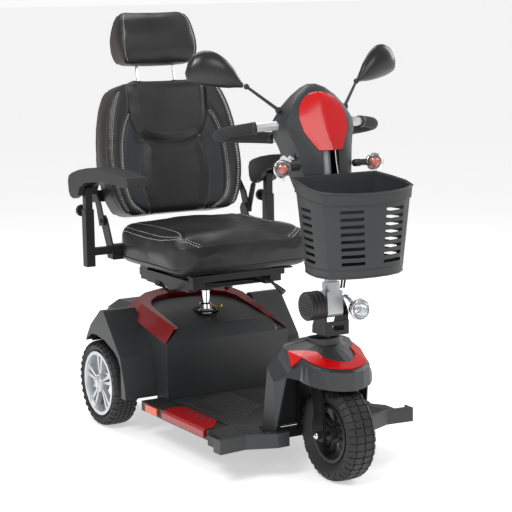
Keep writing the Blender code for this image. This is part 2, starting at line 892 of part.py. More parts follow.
def basket_plan(t, inset):
    """The plan outline at height fraction t, as x, y pairs from the back right corner round the front."""
    low = (
        (0.099, -0.460),
        (0.112, -0.500),
        (0.120, -0.545),
        (0.111, -0.586),
        (0.084, -0.608),
        (0.045, -0.621),
        (0, -0.625),
    )
    high = (
        (0.122, -0.450),
        (0.136, -0.500),
        (0.143, -0.552),
        (0.133, -0.594),
        (0.102, -0.615),
        (0.055, -0.629),
        (0, -0.634),
    )
    out = []
    for (x0, y0), (x1, y1) in zip(low, high):
        x, y = x0 + (x1 - x0) * t, y0 + (y1 - y0) * t
        mid_y = BASKET_Y
        reach = math.hypot(x, y - mid_y)
        out.append((x * (1 - inset / reach), mid_y + (y - mid_y) * (1 - inset / reach)))
    return out + [(-x, y) for x, y in out[-2::-1]]


def rim_z(y):
    return 0.772 + (y + 0.634) * 0.152


def basket_ring(t, inset, z_low, lift=0.0):
    return [(x, y, z_low + (rim_z(y) + lift - z_low) * t) for x, y in basket_plan(t, inset)]


basket = loft([basket_ring(t, 0, 0.560) for t in (0, 0.5, 1)], "tub")
rim_band = loft([basket_ring(t, -0.0035, 0.560) for t in (0.86, 1.0)], "rim_band")
inside = loft([basket_ring(t, 0.0035, 0.5640, 0.0) for t in (0, 0.5, 1.02)], "tub_inside")
bm = bmesh.new()
for row in range(8):
    z = 0.598 + row * 0.0185
    t = (z - 0.56) / 0.21
    spread = 1 + 0.16 * t
    for x, y, turn, long in (
        (-0.128, -0.515, 90, 0.062),
        (0.128, -0.515, 90, 0.062),
        (-0.056, -0.617, -12, 0.062),
        (0.056, -0.617, 12, 0.062),
    ):
        place = Matrix.Translation((x * spread, y, z)) @ Matrix.Rotation(math.radians(turn), 4, "Z")
        bmesh.ops.create_cube(bm, size=1, matrix=place @ Matrix.Diagonal((long, 0.05, 0.0085, 1)))
slots = helper("slots", bm)
node("basket", "plastic_charcoal", basket, adds=[rim_band], cuts=[inside, slots], origin=(0, -0.452, 0.68))

# Head cover: rows of an arched section from the apex down to the two legs
HEAD_ROWS = (
    (1.0270, 0.012, -0.346, -0.338),
    (1.0180, 0.033, -0.362, -0.3365),
    (0.9980, 0.060, -0.377, -0.3330),
    (0.9700, 0.087, -0.389, -0.3280),
    (0.9350, 0.108, -0.402, -0.3220),
    (0.9120, 0.107, -0.412, -0.3180),
    (0.8900, 0.098, -0.421, -0.3130),
    (0.8620, 0.088, -0.433, -0.3200),
    (0.8200, 0.081, -0.438, -0.3380),
    (0.7650, 0.073, -0.439, -0.3660),
)
HEAD_COLUMNS = ((1.0, 0.0), (0.995, 0.45), (0.93, 0.74), (0.70, 0.90), (0.36, 0.97), (0.0, 1.0))


def head_surface(inset=0.0):
    bm = bmesh.new()
    grid = []
    for z, half, front_y, rear_y in HEAD_ROWS:
        columns = [(-u, v) for u, v in HEAD_COLUMNS] + [(u, v) for u, v in HEAD_COLUMNS[-2::-1]]
        grid.append([bm.verts.new((half * u, rear_y + (front_y - rear_y) * v, z)) for u, v in columns])
    for one, two in zip(grid, grid[1:]):
        for i in range(len(one) - 1):
            bm.faces.new((one[i], one[i + 1], two[i + 1], two[i]))
    bm.faces.new(grid[0])
    bmesh.ops.recalc_face_normals(bm, faces=bm.faces)
    front_face = min(bm.faces, key=lambda face: face.calc_center_median().y)
    if front_face.normal.y > 0:
        bmesh.ops.reverse_faces(bm, faces=bm.faces)
    obj = helper("head_surface", bm, fix=False)
    solid = obj.modifiers.new("shell", "SOLIDIFY")
    solid.thickness = 0.0035
    solid.offset = -1
    return baked(obj)


BAR_HALF = (
    (0, -0.346, 0.924),
    (0.090, -0.344, 0.925),
    (0.158, -0.324, 0.921),
    (0.207, -0.305, 0.914),
    (0.2285, -0.285, 0.908),
    (0.2330, -0.266, 0.903),
    (0.2230, -0.249, 0.898),
    (0.192, -0.243, 0.894),
    (0.135, -0.258, 0.891),
    (0.088, -0.296, 0.889),
    (0.040, -0.328, 0.888),
    (0, -0.334, 0.888),
)
bar_right = [Vector(p) for p in BAR_HALF]
bar_points = bar_right + [Vector((-p.x, p.y, p.z)) for p in bar_right[-2:0:-1]]
bar_path = smooth(bar_points, 2, cyclic=True)
SPAN = slice(4, 18)
grip_path = bar_path[SPAN]

tube_gap = box((-0.0245, -0.50, 0.70), (0.0245, -0.25, 0.8615))
bar_holes = pipe(bar_path, BAR_R + 0.0012, cyclic=True)
node("head_cover", "plastic_charcoal", head_surface(), cuts=[tube_gap, bar_holes], origin=(0, -0.38, 0.90))

PANEL = (
    (1.0085, 0.011),
    (1.0040, 0.028),
    (0.9980, 0.039),
    (0.9850, 0.054),
    (0.9700, 0.064),
    (0.9450, 0.0705),
    (0.9120, 0.066),
    (0.8900, 0.053),
    (0.8635, 0.036),
)


def head_front(z, x):
    """The y of the head cover's front face at a height and a distance to the side."""
    for (z1, w1, f1, r1), (z0, w0, f0, r0) in zip(HEAD_ROWS, HEAD_ROWS[1:]):
        if z0 <= z <= z1:
            t = (z - z0) / (z1 - z0)
            half, front_y, rear_y = w0 + (w1 - w0) * t, f0 + (f1 - f0) * t, r0 + (r1 - r0) * t
            break
    u = abs(x) / half
    for (ua, va), (ub, vb) in zip(HEAD_COLUMNS, HEAD_COLUMNS[1:]):
        if ub <= u <= ua:
            v = vb + (va - vb) * (u - ub) / (ua - ub)
            return rear_y + (front_y - rear_y) * v
    return front_y


panel_rings = []
for z, half in PANEL:
    near, far = [], []
    for k in range(-4, 5):
        x = half * k / 4
        base = head_front(z, x)
        ridge = 0.0065 * (1 - abs(k) / 4)
        near.append((x, base - 0.0012, z))
        far.append((x, base - 0.0030 - ridge, z))
    panel_rings.append(near + far[::-1])
node("head_panel", "red_bright", loft(panel_rings))

console_rings = []
for z, half, front_y, rear_y in HEAD_ROWS[1:]:
    half = half - 0.0075 - (0.006 if z > 1.0 else 0.0)
    z = z - (0.004 if z > 1.0 else 0.0)
    y = rear_y - 0.0005
    console_rings.append([(-half, y - 0.0035, z), (half, y - 0.0035, z), (half, y, z), (-half, y, z)])
node(
    "console",
    "plastic_black",
    loft(console_rings),
    cuts=[bar_holes, box((-0.018, -0.43, 0.70), (0.018, -0.34, 0.80))],
    origin=(0, -0.31, 0.92),
)
bar = pipe(bar_path, BAR_R, cyclic=True)
node(
    "handlebar",
    "silver",
    bar,
    adds=[
        box((-0.016, -0.3880, 0.8890), (0.016, -0.3350, 0.9140)),
        box((-0.012, -0.3560, 0.8780), (0.012, -0.3300, 0.9200)),
    ],
    cuts=[rod(on_tube(0.80), on_tube(0.8880), TUBE_R + 0.0008, sides=24)],
    origin=(0, -0.345, 0.926),
)
grip = pipe(grip_path, GRIP_R, name="grip")
grip_right = flip(grip)
bore = pipe(bar_path, BAR_R + 0.0003, cyclic=True, name="bore")
node("grip_left", "foam", grip, cuts=[bore], origin=(0.24, -0.27, 0.90))
node("grip_right", "foam", grip_right, cuts=[bore], origin=(-0.24, -0.27, 0.90))

PADDLE = (
    (-0.138, -0.2720),
    (-0.100, -0.2860),
    (-0.030, -0.3045),
    (0.030, -0.3045),
    (0.100, -0.2860),
    (0.138, -0.2720),
    (0.138, -0.2650),
    (0.100, -0.2785),
    (0.030, -0.2965),
    (-0.030, -0.2965),
    (-0.100, -0.2785),
    (-0.138, -0.2650),
)
node(
    "throttle_lever",
    "plastic_black",
    prism(PADDLE, 0.9095, 0.9200, "z"),
    adds=[rod((0, -0.3050, 0.9070), (0, -0.3050, 0.9225), 0.0110, sides=20)],
    origin=(0, -0.3050, 0.9147),
)
key_rod = rod((-0.0865, -0.385, 0.842), (-0.0950, -0.385, 0.842), 0.0085, sides=20)
node(
    "key",
    "chrome",
    key_rod,
    adds=[
        box((-0.1080, -0.3862, 0.8380), (-0.0940, -0.3838, 0.8460)),
        rod((-0.1150, -0.3868, 0.842), (-0.1150, -0.3832, 0.842), 0.0100, sides=16),
    ],
    origin=(-0.09, -0.385, 0.842),
)


CUP = (
    (0, -0.016),
    (0.014, -0.015),
    (0.022, -0.006),
    (0.0235, 0.004),
    (0.0225, 0.014),
    (0.0165, 0.0225),
    (0.008, 0.026),
    (0, 0.0265),
)


def indicator(side, reach):
    lamp = Vector((side * reach, -0.4130, 0.8220))
    cup = baked(turned(CUP, 16, "cup"), Matrix.Translation(lamp) @ Matrix.Rotation(math.radians(90), 4, "X"))
    arm = rod((side * 0.0840, -0.4080, 0.8220), (side * (reach - 0.010), -0.4080, 0.8220), 0.0085, sides=16)
    return cup, arm


for side, word in ((1, "left"), (-1, "right")):
    reach = 0.143 if side > 0 else 0.138
    cup, arm = indicator(side, reach)
    node("indicator_" + word, "amber", arm, adds=[cup], origin=(side * reach, -0.413, 0.822))

# Mirrors
# Each row of the mirror shell: along, half height, how far up its middle is, depth
MIRROR = (
    (0.000, 0.0060, 0.000, 0.0070),
    (0.012, 0.0120, 0.003, 0.0110),
    (0.035, 0.0260, 0.010, 0.0170),
    (0.065, 0.0380, 0.016, 0.0230),
    (0.095, 0.0440, 0.018, 0.0250),
    (0.124, 0.0425, 0.015, 0.0230),
    (0.144, 0.0340, 0.009, 0.0170),
    (0.154, 0.0200, 0.004, 0.0090),
)
MIRROR_TILT = Matrix.Rotation(math.radians(-17), 4, "Y")
MIRROR_YAW = math.radians(15)
for side, word in ((1, "left"), (-1, "right")):
    ball = Vector((side * 0.1685, -0.2980, 1.0250))
    base = Vector((side * 0.1005, -0.3430, 0.9640))
    knob = bmesh.new()
    bmesh.ops.create_uvsphere(knob, u_segments=12, v_segments=8, radius=0.0075)
    bmesh.ops.translate(knob, verts=knob.verts, vec=ball)
    along = Vector((side * 0.0040, 0, 0))
    foot = rod(base - along, base + along * 1.5, 0.0080, sides=16)
    stalk = rod(base, ball, 0.0045, 0.0036, sides=12)
    node("mirror_arm_" + word, "plastic_black", stalk, adds=[foot, helper("ball", knob)], origin=base)
    rings = []
    for s, high, lift, deep in MIRROR:
        ring = []
        for k in range(7):
            a = math.pi * k / 6
            ring.append((s, -deep * math.sin(a) + 0.004, lift + high * math.cos(a)))
        ring += [(s, 0.0055, lift - high * 0.5), (s, 0.0055, lift + high * 0.5)]
        rings.append(ring)
    shell = loft(rings, "mirror_shell")
    shell.data.transform(Matrix.Translation((0.0095, 0, 0)))
    side_matrix = Matrix.Diagonal((side, 1, 1, 1))
    lean = Matrix.Rotation(MIRROR_YAW * side, 4, "Z") @ side_matrix @ MIRROR_TILT
    shell = baked(shell, Matrix.Translation(ball) @ lean)
    node("mirror_" + word, "plastic_black", shell, origin=ball)

# Cables down the front of the column, tied together at the bottom
CABLES = []
for x in (0.0275, 0.0365):
    path = (
        (x, on_tube(0.705)[1] - 0.004, 0.705),
        (x, on_tube(0.60)[1] - 0.004, 0.600),
        (x + 0.003, -0.433, 0.545),
        (x, -0.430, 0.502),
    )
    CABLES.append(pipe(smooth(path, 2), 0.0030, res=1))
tie = box((0.0240, on_tube(0.69)[1] - 0.0080, 0.6850), (0.0405, on_tube(0.69)[1], 0.6950))
node("tiller_cables", "rubber", CABLES[0], adds=[CABLES[1], tie], origin=on_tube(0.69, 0.028))

# Seat post, swivel base with slide rails, and the seat pan
POST = (
    (0, 0.0),
    (POST_R, 0.0),
    (POST_R, 0.246),
    (0.0185, 0.249),
    (0.0185, 0.262),
    (0.0135, 0.266),
    (0.0135, 0.321),
    (0, 0.321),
)
post = baked(turned(POST, 28, "post"), Matrix.Translation((0, POST_Y, 0.0965)))
node("seat_post", "chrome", post, origin=(0, POST_Y, 0.3))
base_plate = box((-0.135, 0.145, 0.4235), (0.135, 0.365, 0.4285))
rail_low = box((0.112, 0.095, 0.4284), (0.140, 0.395, 0.4400))
node(
    "seat_base",
    "steel_black",
    rod((0, POST_Y, 0.4140), (0, POST_Y, 0.4240), 0.068, sides=32),
    adds=[
        base_plate,
        rail_low,
        flip(rail_low),
        box((-0.139, 0.150, 0.4275), (0.139, 0.175, 0.4340)),
        rod((0, POST_Y, 0.4020), (0, POST_Y, 0.4150), 0.030, sides=28),
    ],
    cuts=[rod((0, POST_Y, 0.36), (0, POST_Y, 0.4195), 0.0140, sides=24)],
    origin=(0, POST_Y, 0.42),
)
rail_up = box((0.108, 0.060, 0.4404), (0.144, 0.395, 0.4620))
plate = box((-0.165, 0.030, 0.4800), (0.165, 0.372, 0.4840))
rib = box((-0.150, 0.050, 0.4610), (0.150, 0.075, 0.4810))
rib_rear = box((-0.236, 0.376, 0.4950), (0.236, 0.3805, 0.5080))
receiver = box((-0.236, 0.3810, 0.5075), (0.236, 0.4110, 0.5375))
EAR_SEAT = (
    (0.376, 0.497),
    (0.411, 0.497),
    (0.416, 0.530),
    (0.444, 0.585),
    (0.449, 0.605),
    (0.440, 0.620),
    (0.424, 0.622),
    (0.411, 0.610),
    (0.376, 0.535),
)
seat_ear = prism(EAR_SEAT, 0.2340, 0.2395)
PIN = rod((0.2345, BACK_Y, BACK_Z), (0.2520, BACK_Y, BACK_Z), 0.006, sides=16)
node(
    "seat_pan",
    "steel_black",
    plate,
    adds=[
        rail_up,
        flip(rail_up),
        rib,
        box((-0.150, 0.330, 0.4610), (0.150, 0.3770, 0.4812)),
        box((-0.140, 0.3700, 0.4800), (0.140, 0.3804, 0.5000)),
        box((-0.080, 0.150, 0.4835), (0.080, 0.250, 0.5000)),
        rib_rear,
        receiver,
        seat_ear,
        flip(seat_ear),
        PIN,
        flip(PIN),
    ],
    cuts=[box((-0.30, 0.3848, 0.5113), (0.30, 0.4072, 0.5337))],
    origin=(0, POST_Y, 0.45),
)


# Cushions: rings through the pad from the bottom up
def soft_ring(half_x, y0, y1, z, corner, bulge=0.0, count=6, crown=0.0):
    """A rounded rectangle ring in plan, with its front bulging out."""
    out = []
    spots = (
        (half_x - corner, y1 - corner, 0),
        (-half_x + corner, y1 - corner, 90),
        (-half_x + corner, y0 + corner, 180),
        (half_x - corner, y0 + corner, 270),
    )
    for cx, cy, start in spots:
        for i in range(count):
            a = math.radians(start + 90 * i / (count - 1))
            x = cx + corner * math.cos(a)
            y = cy + corner * math.sin(a)
            if y < (y0 + y1) / 2:
                y -= bulge * (1 - (x / half_x) ** 2)
            out.append((x, y, z + crown * (1 - (x / half_x) ** 2)))
    return out


CUSHION_ROWS = (
    (0.016, CUSHION_BOTTOM, 0.0),
    (0.004, CUSHION_BOTTOM + 0.008, 0.0),
    (0.000, CUSHION_BOTTOM + 0.030, 0.0),
    (0.000, CUSHION_BOTTOM + 0.070, 0.0),
    (0.006, CUSHION_BOTTOM + 0.090, 0.001),
    (0.020, CUSHION_BOTTOM + 0.103, 0.003),
    (0.050, CUSHION_BOTTOM + 0.109, 0.005),
    (0.100, CUSHION_BOTTOM + 0.111, 0.006),
)
rings = []
for inset, z, crown in CUSHION_ROWS:
    front, back = -0.012 + inset, 0.3755 - inset * 0.8
    corner = 0.050 - inset * 0.3
    rings.append(soft_ring(CUSHION_HALF - inset, front, back, z, corner, 0.010, 6, crown))
under = box((-0.085, 0.145, 0.47), (0.085, 0.255, 0.5025))
behind = box((-0.145, 0.3690, 0.47), (0.145, 0.39, 0.5020))
node("seat_cushion", "leather", loft(rings), cuts=[under, behind], origin=(0, 0.18, 0.54))

BACK_TURN = Matrix.Translation((0, BACK_Y, BACK_Z)) @ Matrix.Rotation(-BACK_LEAN, 4, "X")


def leaned(obj):
    return baked(obj, BACK_TURN)


BACK_OUTLINE = (
    (0.000, 0.160),
    (0.020, 0.192),
    (0.060, 0.213),
    (0.130, 0.226),
    (0.200, 0.225),
    (0.270, 0.216),
    (0.330, 0.201),
    (0.370, 0.183),
    (0.394, 0.160),
    (0.405, 0.126),
)
WING_FORWARD = 0.022
rings = []
for i, (up, half) in enumerate(BACK_OUTLINE):
    end = min(i, len(BACK_OUTLINE) - 1 - i)
    thin = (0.014, 0.006, 0.0)[min(end, 2)]
    ring = []
    for k in range(-5, 6):
        x = half * k / 5
        side = abs(k) / 5
        y = -0.030 - WING_FORWARD * side**2 + thin + (0.012 if abs(k) == 5 else 0.0)
        ring.append((x, y, up))
    for k in range(5, -6, -1):
        x = (half + 0.006) * k / 5
        y = 0.058 - thin - (0.016 if abs(k) == 5 else 0.0)
        ring.append((x, y, up))
    rings.append(ring)
back_pad = leaned(loft(rings))
ARM_PLATE = (
    (-0.014, -0.014),
    (0.014, -0.014),
    (0.020, 0.040),
    (0.034, 0.095),
    (0.022, 0.098),
    (-0.008, 0.050),
    (-0.016, 0.014),
)
arm_plate = prism(ARM_PLATE, 0.2440, 0.2490)
cross = box((-0.246, 0.0640, 0.060), (0.246, 0.0710, 0.095))
strap = box((0.2440, 0.020, 0.060), (0.2490, 0.0705, 0.092))
arm_plate, cross, strap = leaned(arm_plate), leaned(cross), leaned(strap)
hinge_hole = rod((-0.26, BACK_Y, BACK_Z), (0.26, BACK_Y, BACK_Z), 0.0064, sides=16)
node("backrest", "leather", back_pad, origin=(0, BACK_Y, BACK_Z))
node(
    "back_frame",
    "steel_black",
    cross,
    adds=[arm_plate, flip(arm_plate), strap, flip(strap)],
    cuts=[hinge_hole],
    origin=(0, BACK_Y, BACK_Z),
)

# Headrest on its two posts
HEAD_PAD = (
    (0.455, 0.112, 0.018),
    (0.467, 0.124, 0.036),
    (0.500, 0.130, 0.046),
    (0.545, 0.128, 0.046),
    (0.590, 0.120, 0.036),
    (0.612, 0.110, 0.024),
    (0.620, 0.098, 0.012),
)
HEAD_POST_X = 0.0612
HEAD_POST_Y = 0.030
rings = []
for up, half, deep in HEAD_PAD:
    rear = deep * (0.8 if up > 0.58 else 1.0)
    ring = []
    for k in range(-3, 4):
        ring.append((half * k / 3, 0.018 - deep * (1 if abs(k) < 3 else 0.72), up))
    for k in range(3, -4, -1):
        ring.append((half * k / 3 * 0.97, 0.018 + rear * (1 if abs(k) < 3 else 0.72), up))
    rings.append(ring)
pad = leaned(loft(rings))
half_loop = [(HEAD_POST_X, HEAD_POST_Y, up) for up in (0.330, 0.520)] + [(0.0540, HEAD_POST_Y, 0.533)]
post_path = [(-x, y, up) for x, y, up in half_loop] + half_loop[::-1]
loop = pipe(post_path, 0.0042)
loop.data.transform(BACK_TURN)
loop_hole = pipe(post_path, 0.0045, name="loop_hole")
loop_hole.data.transform(BACK_TURN)
node("headrest", "leather", pad, cuts=[loop_hole], origin=BACK_TURN @ Vector((0, HEAD_POST_Y, 0.53)))
node("headrest_posts", "chrome", loop, origin=BACK_TURN @ Vector((0, HEAD_POST_Y, 0.43)))
for k in (-1, 1):
    low, high = (k * HEAD_POST_X, HEAD_POST_Y, 0.260), (k * HEAD_POST_X, HEAD_POST_Y, 0.42)
    drill = leaned(rod(low, high, 0.0050, sides=16))
    cut = bpy.data.objects["backrest"].modifiers.new("drill", "BOOLEAN")
    cut.operation = "DIFFERENCE"
    cut.solver = "EXACT"
    cut.object = drill

# Seat levers
SWIVEL = (
    (-0.079, 0.235, 0.4172),
    (-0.120, 0.212, 0.4170),
    (-0.156, 0.188, 0.4215),
    (-0.188, 0.166, 0.4460),
    (-0.212, 0.148, 0.4580),
)
swivel_path = smooth(SWIVEL, 2)
node(
    "swivel_lever",
    "plastic_black",
    rod((-0.079, 0.235, 0.4130), (-0.079, 0.235, 0.4228), 0.0090, sides=12),
    adds=[
        pipe(swivel_path, 0.0042, res=1),
        rod(swivel_path[-3], swivel_path[-1], 0.0065, 0.0085, sides=10),
    ],
    origin=(-0.079, 0.235, 0.418),
)
SLIDE = (
    (0.092, 0.095, 0.4545),
    (0.090, 0.060, 0.4545),
    (0.092, 0.030, 0.4470),
    (0.105, 0.005, 0.4270),
    (0.112, -0.008, 0.4180),
)
slide_path = smooth(SLIDE, 2)
node(
    "slide_lever",
    "plastic_black",
    rod((0.092, 0.095, 0.4500), (0.092, 0.095, 0.4780), 0.0090, sides=12),
    adds=[
        pipe(slide_path, 0.0045, res=1),
        rod(slide_path[-4], slide_path[-1], 0.0060, 0.0085, sides=10),
    ],
    origin=(0.092, 0.095, 0.4545),
)
HANDLE = (
    (-0.012, -0.012),
    (0.012, -0.012),
    (0.010, 0.006),
    (-0.018, 0.075),
    (-0.034, 0.086),
    (-0.040, 0.074),
    (-0.014, 0.004),
)
recline = prism([(BACK_Y + y, BACK_Z + z) for y, z in HANDLE], 0.2532, 0.2590)
node("recline_lever", "plastic_black", recline, origin=(0.256, BACK_Y, BACK_Z))

# Armrests: an L-shaped bar with a height sleeve, a sliding post and a padded arm on a hinge
ARM_PAD = (
    (0.070, 0.742),
    (0.066, 0.755),
    (0.073, 0.768),
    (0.115, 0.775),
    (0.180, 0.779),
    (0.250, 0.780),
    (0.330, 0.775),
    (0.390, 0.765),
    (0.435, 0.753),
    (0.455, 0.744),
    (0.462, 0.728),
    (0.459, 0.700),
    (0.450, 0.684),
    (0.428, 0.678),
    (0.397, 0.690),
    (0.380, 0.716),
    (0.345, 0.732),
    (0.250, 0.743),
    (0.150, 0.744),
    (0.100, 0.740),
)
POST_HEAD = (
    (0.386, 0.690),
    (0.406, 0.690),
    (0.438, 0.702),
    (0.438, 0.714),
    (0.430, 0.720),
    (0.386, 0.712),
)
for side, word in ((1, "left"), (-1, "right")):
    pieces = [
        box((0.060, 0.3852, 0.5117), (0.300, 0.4068, 0.5333)),
        box((0.2915, 0.3825, 0.4800), (0.3185, 0.4095, 0.6480)),
        box((0.2938, 0.3848, 0.4900), (0.3162, 0.4072, 0.70)),
        rod((ARM_X, 0.4085, KNOB_Z), (ARM_X, 0.4330, KNOB_Z), 0.0050, sides=12),
        rod((ARM_X, 0.4310, KNOB_Z), (ARM_X, 0.4430, KNOB_Z), 0.0180, sides=10),
        box((0.2942, 0.3852, 0.4980), (0.3158, 0.4068, 0.7060)),
        prism(POST_HEAD, 0.2960, 0.3140),
        prism(ARM_PAD, 0.2740, 0.3360),
        box((0.2925, 0.340, 0.60), (0.3175, 0.500, 0.7305)),
    ]
    if side < 0:
        pieces = [flip(piece) for piece in pieces]
    bar, sleeve, channel, screw, wheel, post, head, arm, notch = pieces
    pivot = (side * ARM_X, ARM_PIVOT_Y, ARM_PIVOT_Z)
    corner = (side * 0.30, ARM_Y, ARM_BAR_Z)
    node("arm_bar_" + word, "steel_black", sleeve, adds=[bar, screw, wheel], cuts=[channel], origin=corner)
    node("arm_post_" + word, "steel_black", post, adds=[head], origin=(side * ARM_X, ARM_Y, 0.60))
    node("armrest_" + word, "plastic_black", arm, cuts=[notch], origin=pivot)

# The origin is the middle of the whole length and width, on the floor
for obj in bpy.data.objects:
    obj.location.y += MIDDLE_Y
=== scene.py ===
"""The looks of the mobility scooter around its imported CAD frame: soft goods, finishes, light and camera."""

import math

import bmesh
import bpy
import numpy as np
from mathutils import Matrix, Vector, noise
from mathutils.bvhtree import BVHTree


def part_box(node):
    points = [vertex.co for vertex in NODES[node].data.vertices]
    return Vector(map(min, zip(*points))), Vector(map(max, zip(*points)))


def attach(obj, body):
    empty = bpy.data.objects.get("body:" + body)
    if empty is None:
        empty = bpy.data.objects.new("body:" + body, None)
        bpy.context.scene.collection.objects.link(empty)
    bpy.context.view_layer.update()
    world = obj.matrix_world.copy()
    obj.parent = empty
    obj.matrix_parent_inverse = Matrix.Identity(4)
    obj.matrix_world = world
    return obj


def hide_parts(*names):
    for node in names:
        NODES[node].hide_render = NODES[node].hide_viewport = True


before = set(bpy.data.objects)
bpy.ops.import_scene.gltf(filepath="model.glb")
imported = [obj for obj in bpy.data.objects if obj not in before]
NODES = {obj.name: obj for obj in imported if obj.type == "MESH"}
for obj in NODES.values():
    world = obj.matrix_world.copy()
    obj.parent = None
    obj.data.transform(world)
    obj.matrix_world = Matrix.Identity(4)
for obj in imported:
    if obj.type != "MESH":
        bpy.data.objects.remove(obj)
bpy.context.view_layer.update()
SHIFT = 0.0204
REAR_AXLE_Y = 0.400 + SHIFT
FRONT_AXLE_Y = -0.452 + SHIFT
WHEEL_Z = 0.127
BACK = Matrix.Translation((0, 0.430 + SHIFT, 0.605)) @ Matrix.Rotation(math.radians(-11), 4, "X")
MATERIALS = {}
SIDES = ((1, "left"), (-1, "right"))


# ---------------------------------------------------------------- materials
def shade(name, colour, rough, metal=0.0, vary=0.14, scale=7.0, grain=420.0, bump=0.10, depth=0.0004,
          kind="noise", wear=0.0, wear_colour=(0.30, 0.30, 0.30), coat=0.0, through=0.0):
    """A Principled material whose colour, roughness and relief come from procedural noise."""
    made = bpy.data.materials.new(name)
    made.use_nodes = True
    tree = made.node_tree
    shader = tree.nodes["Principled BSDF"]

    def node(kind, **values):
        new = tree.nodes.new("ShaderNode" + kind)
        for socket, value in values.items():
            new.inputs[socket.replace("_", " ")].default_value = value
        return new

    def link(start, output, end, socket):
        tree.links.new(start.outputs[output], end.inputs[socket])

    for socket, value in (("Metallic", metal), ("Coat Weight", coat), ("Coat Roughness", 0.06),
                          ("Transmission Weight", through)):
        shader.inputs[socket].default_value = value
    place = node("TexCoord")
    cloud = node("TexNoise", Scale=scale, Detail=5.0, Roughness=0.6)
    link(place, "Object", cloud, "Vector")
    ramp = node("ValToRGB")
    low = [c * (1 - vary) for c in colour]
    high = [min(c * (1 + vary) + vary * 0.004, 1) for c in colour]
    for stop, at, tint in zip(ramp.color_ramp.elements, (0.32, 0.70), (low, high)):
        stop.position = at
        stop.color = (*tint, 1)
    link(cloud, "Fac", ramp, "Fac")
    if wear:
        scuff = node("TexNoise", Scale=38.0, Detail=9.0, Roughness=0.75)
        link(place, "Object", scuff, "Vector")
        mask = node("MapRange", From_Min=0.60, From_Max=0.78, To_Max=wear)
        link(scuff, "Fac", mask, "Value")
        mix = tree.nodes.new("ShaderNodeMix")
        mix.data_type = "RGBA"
        mix.inputs["B"].default_value = (*wear_colour, 1)
        link(mask, "Result", mix, "Factor")
        link(ramp, "Color", mix, "A")
        link(mix, "Result", shader, "Base Color")
    else:
        link(ramp, "Color", shader, "Base Color")
    uneven = node("MapRange", From_Min=0.25, From_Max=0.75, To_Min=max(rough - 0.06, 0.02),
                  To_Max=min(rough + 0.08, 1))
    link(cloud, "Fac", uneven, "Value")
    link(uneven, "Result", shader, "Roughness")
    relief = node("Bump", Strength=bump, Distance=depth)
    if kind == "pebble":
        cells = node("TexVoronoi", Scale=grain)
        cells.feature = "DISTANCE_TO_EDGE"
        link(place, "Object", cells, "Vector")
        cap = node("MapRange", From_Max=0.25)
        link(cells, "Distance", cap, "Value")
        link(cap, "Result", relief, "Height")
    else:
        fine = node("TexNoise", Scale=grain, Detail=3.0)
        link(place, "Object", fine, "Vector")
        link(fine, "Fac", relief, "Height")
    link(relief, "Normal", shader, "Normal")
    MATERIALS[name] = made


shade("charcoal", (0.026, 0.0275, 0.0290), 0.38, vary=0.10, scale=5, grain=650, bump=0.10)
shade("charcoal_basket", (0.026, 0.027, 0.0285), 0.46, vary=0.10, grain=520, bump=0.22, wear=0.12,
      wear_colour=(0.11, 0.11, 0.115))
shade("moulded_black", (0.013, 0.013, 0.014), 0.46, vary=0.18, grain=560, bump=0.25, wear=0.10,
      wear_colour=(0.05, 0.05, 0.05))
shade("coated_steel", (0.017, 0.017, 0.018), 0.38, metal=0.35, vary=0.16, grain=300, bump=0.14, wear=0.18,
      wear_colour=(0.10, 0.10, 0.10))
shade("urethane", (0.013, 0.013, 0.013), 0.46, vary=0.14, grain=700, bump=0.30, kind="pebble", depth=0.0003)
shade("mirror_shell", (0.014, 0.014, 0.0145), 0.28, vary=0.10, grain=700, bump=0.10)
shade("rubber", (0.014, 0.014, 0.0145), 0.58, vary=0.20, scale=16, grain=520, bump=0.22, wear=0.25,
      wear_colour=(0.055, 0.053, 0.050))
shade("mat_rubber", (0.020, 0.020, 0.021), 0.50, vary=0.16, grain=400, bump=0.20, wear=0.18,
      wear_colour=(0.045, 0.045, 0.045))
shade("foam", (0.016, 0.016, 0.0165), 0.74, vary=0.12, grain=900, bump=0.55, kind="pebble")
shade("red_paint", (0.240, 0.002, 0.004), 0.28, metal=0.10, vary=0.16, scale=3, grain=1600, bump=0.05,
      coat=0.35)
shade("red_gloss", (0.54, 0.001, 0.003), 0.20, vary=0.07, scale=4, grain=900, bump=0.03, coat=0.25)
shade("red_insert", (0.34, 0.002, 0.004), 0.28, vary=0.10, scale=5, grain=900, bump=0.05, coat=0.3)
shade("reflector", (0.78, 0.10, 0.015), 0.20, vary=0.14, grain=340, bump=0.60, kind="pebble", coat=0.5)
shade("rim_silver", (0.60, 0.61, 0.62), 0.32, metal=0.55, vary=0.08, grain=500, bump=0.05, coat=0.3)
shade("alloy", (0.50, 0.51, 0.52), 0.34, metal=0.45, vary=0.08, scale=20, grain=260, bump=0.06, wear=0.12,
      wear_colour=(0.30, 0.30, 0.30))
shade("chrome", (0.80, 0.80, 0.82), 0.09, metal=1.0, vary=0.04, scale=14, grain=180, bump=0.02)
shade("battery_case", (0.055, 0.056, 0.062), 0.50, vary=0.12, grain=400, bump=0.2)
shade("clear_lens", (0.92, 0.94, 0.95), 0.04, vary=0.03, grain=200, bump=0.05, through=0.95)
shade("orange_bulb", (0.90, 0.085, 0.008), 0.25, vary=0.15, grain=160, bump=0.1, through=0.05, coat=0.2)
shade("glass_mirror", (0.86, 0.88, 0.90), 0.03, metal=1.0, vary=0.02, grain=60, bump=0.01)
shade("thread", (0.62, 0.62, 0.60), 0.70, vary=0.12, scale=60, grain=1500, bump=0.5)
shade("zinc_pin", (0.62, 0.50, 0.18), 0.30, metal=0.8, vary=0.12, grain=300, bump=0.08)
shade("leather", (0.0100, 0.0100, 0.0104), 0.37, vary=0.20, scale=6, grain=620, bump=0.16, kind="pebble")
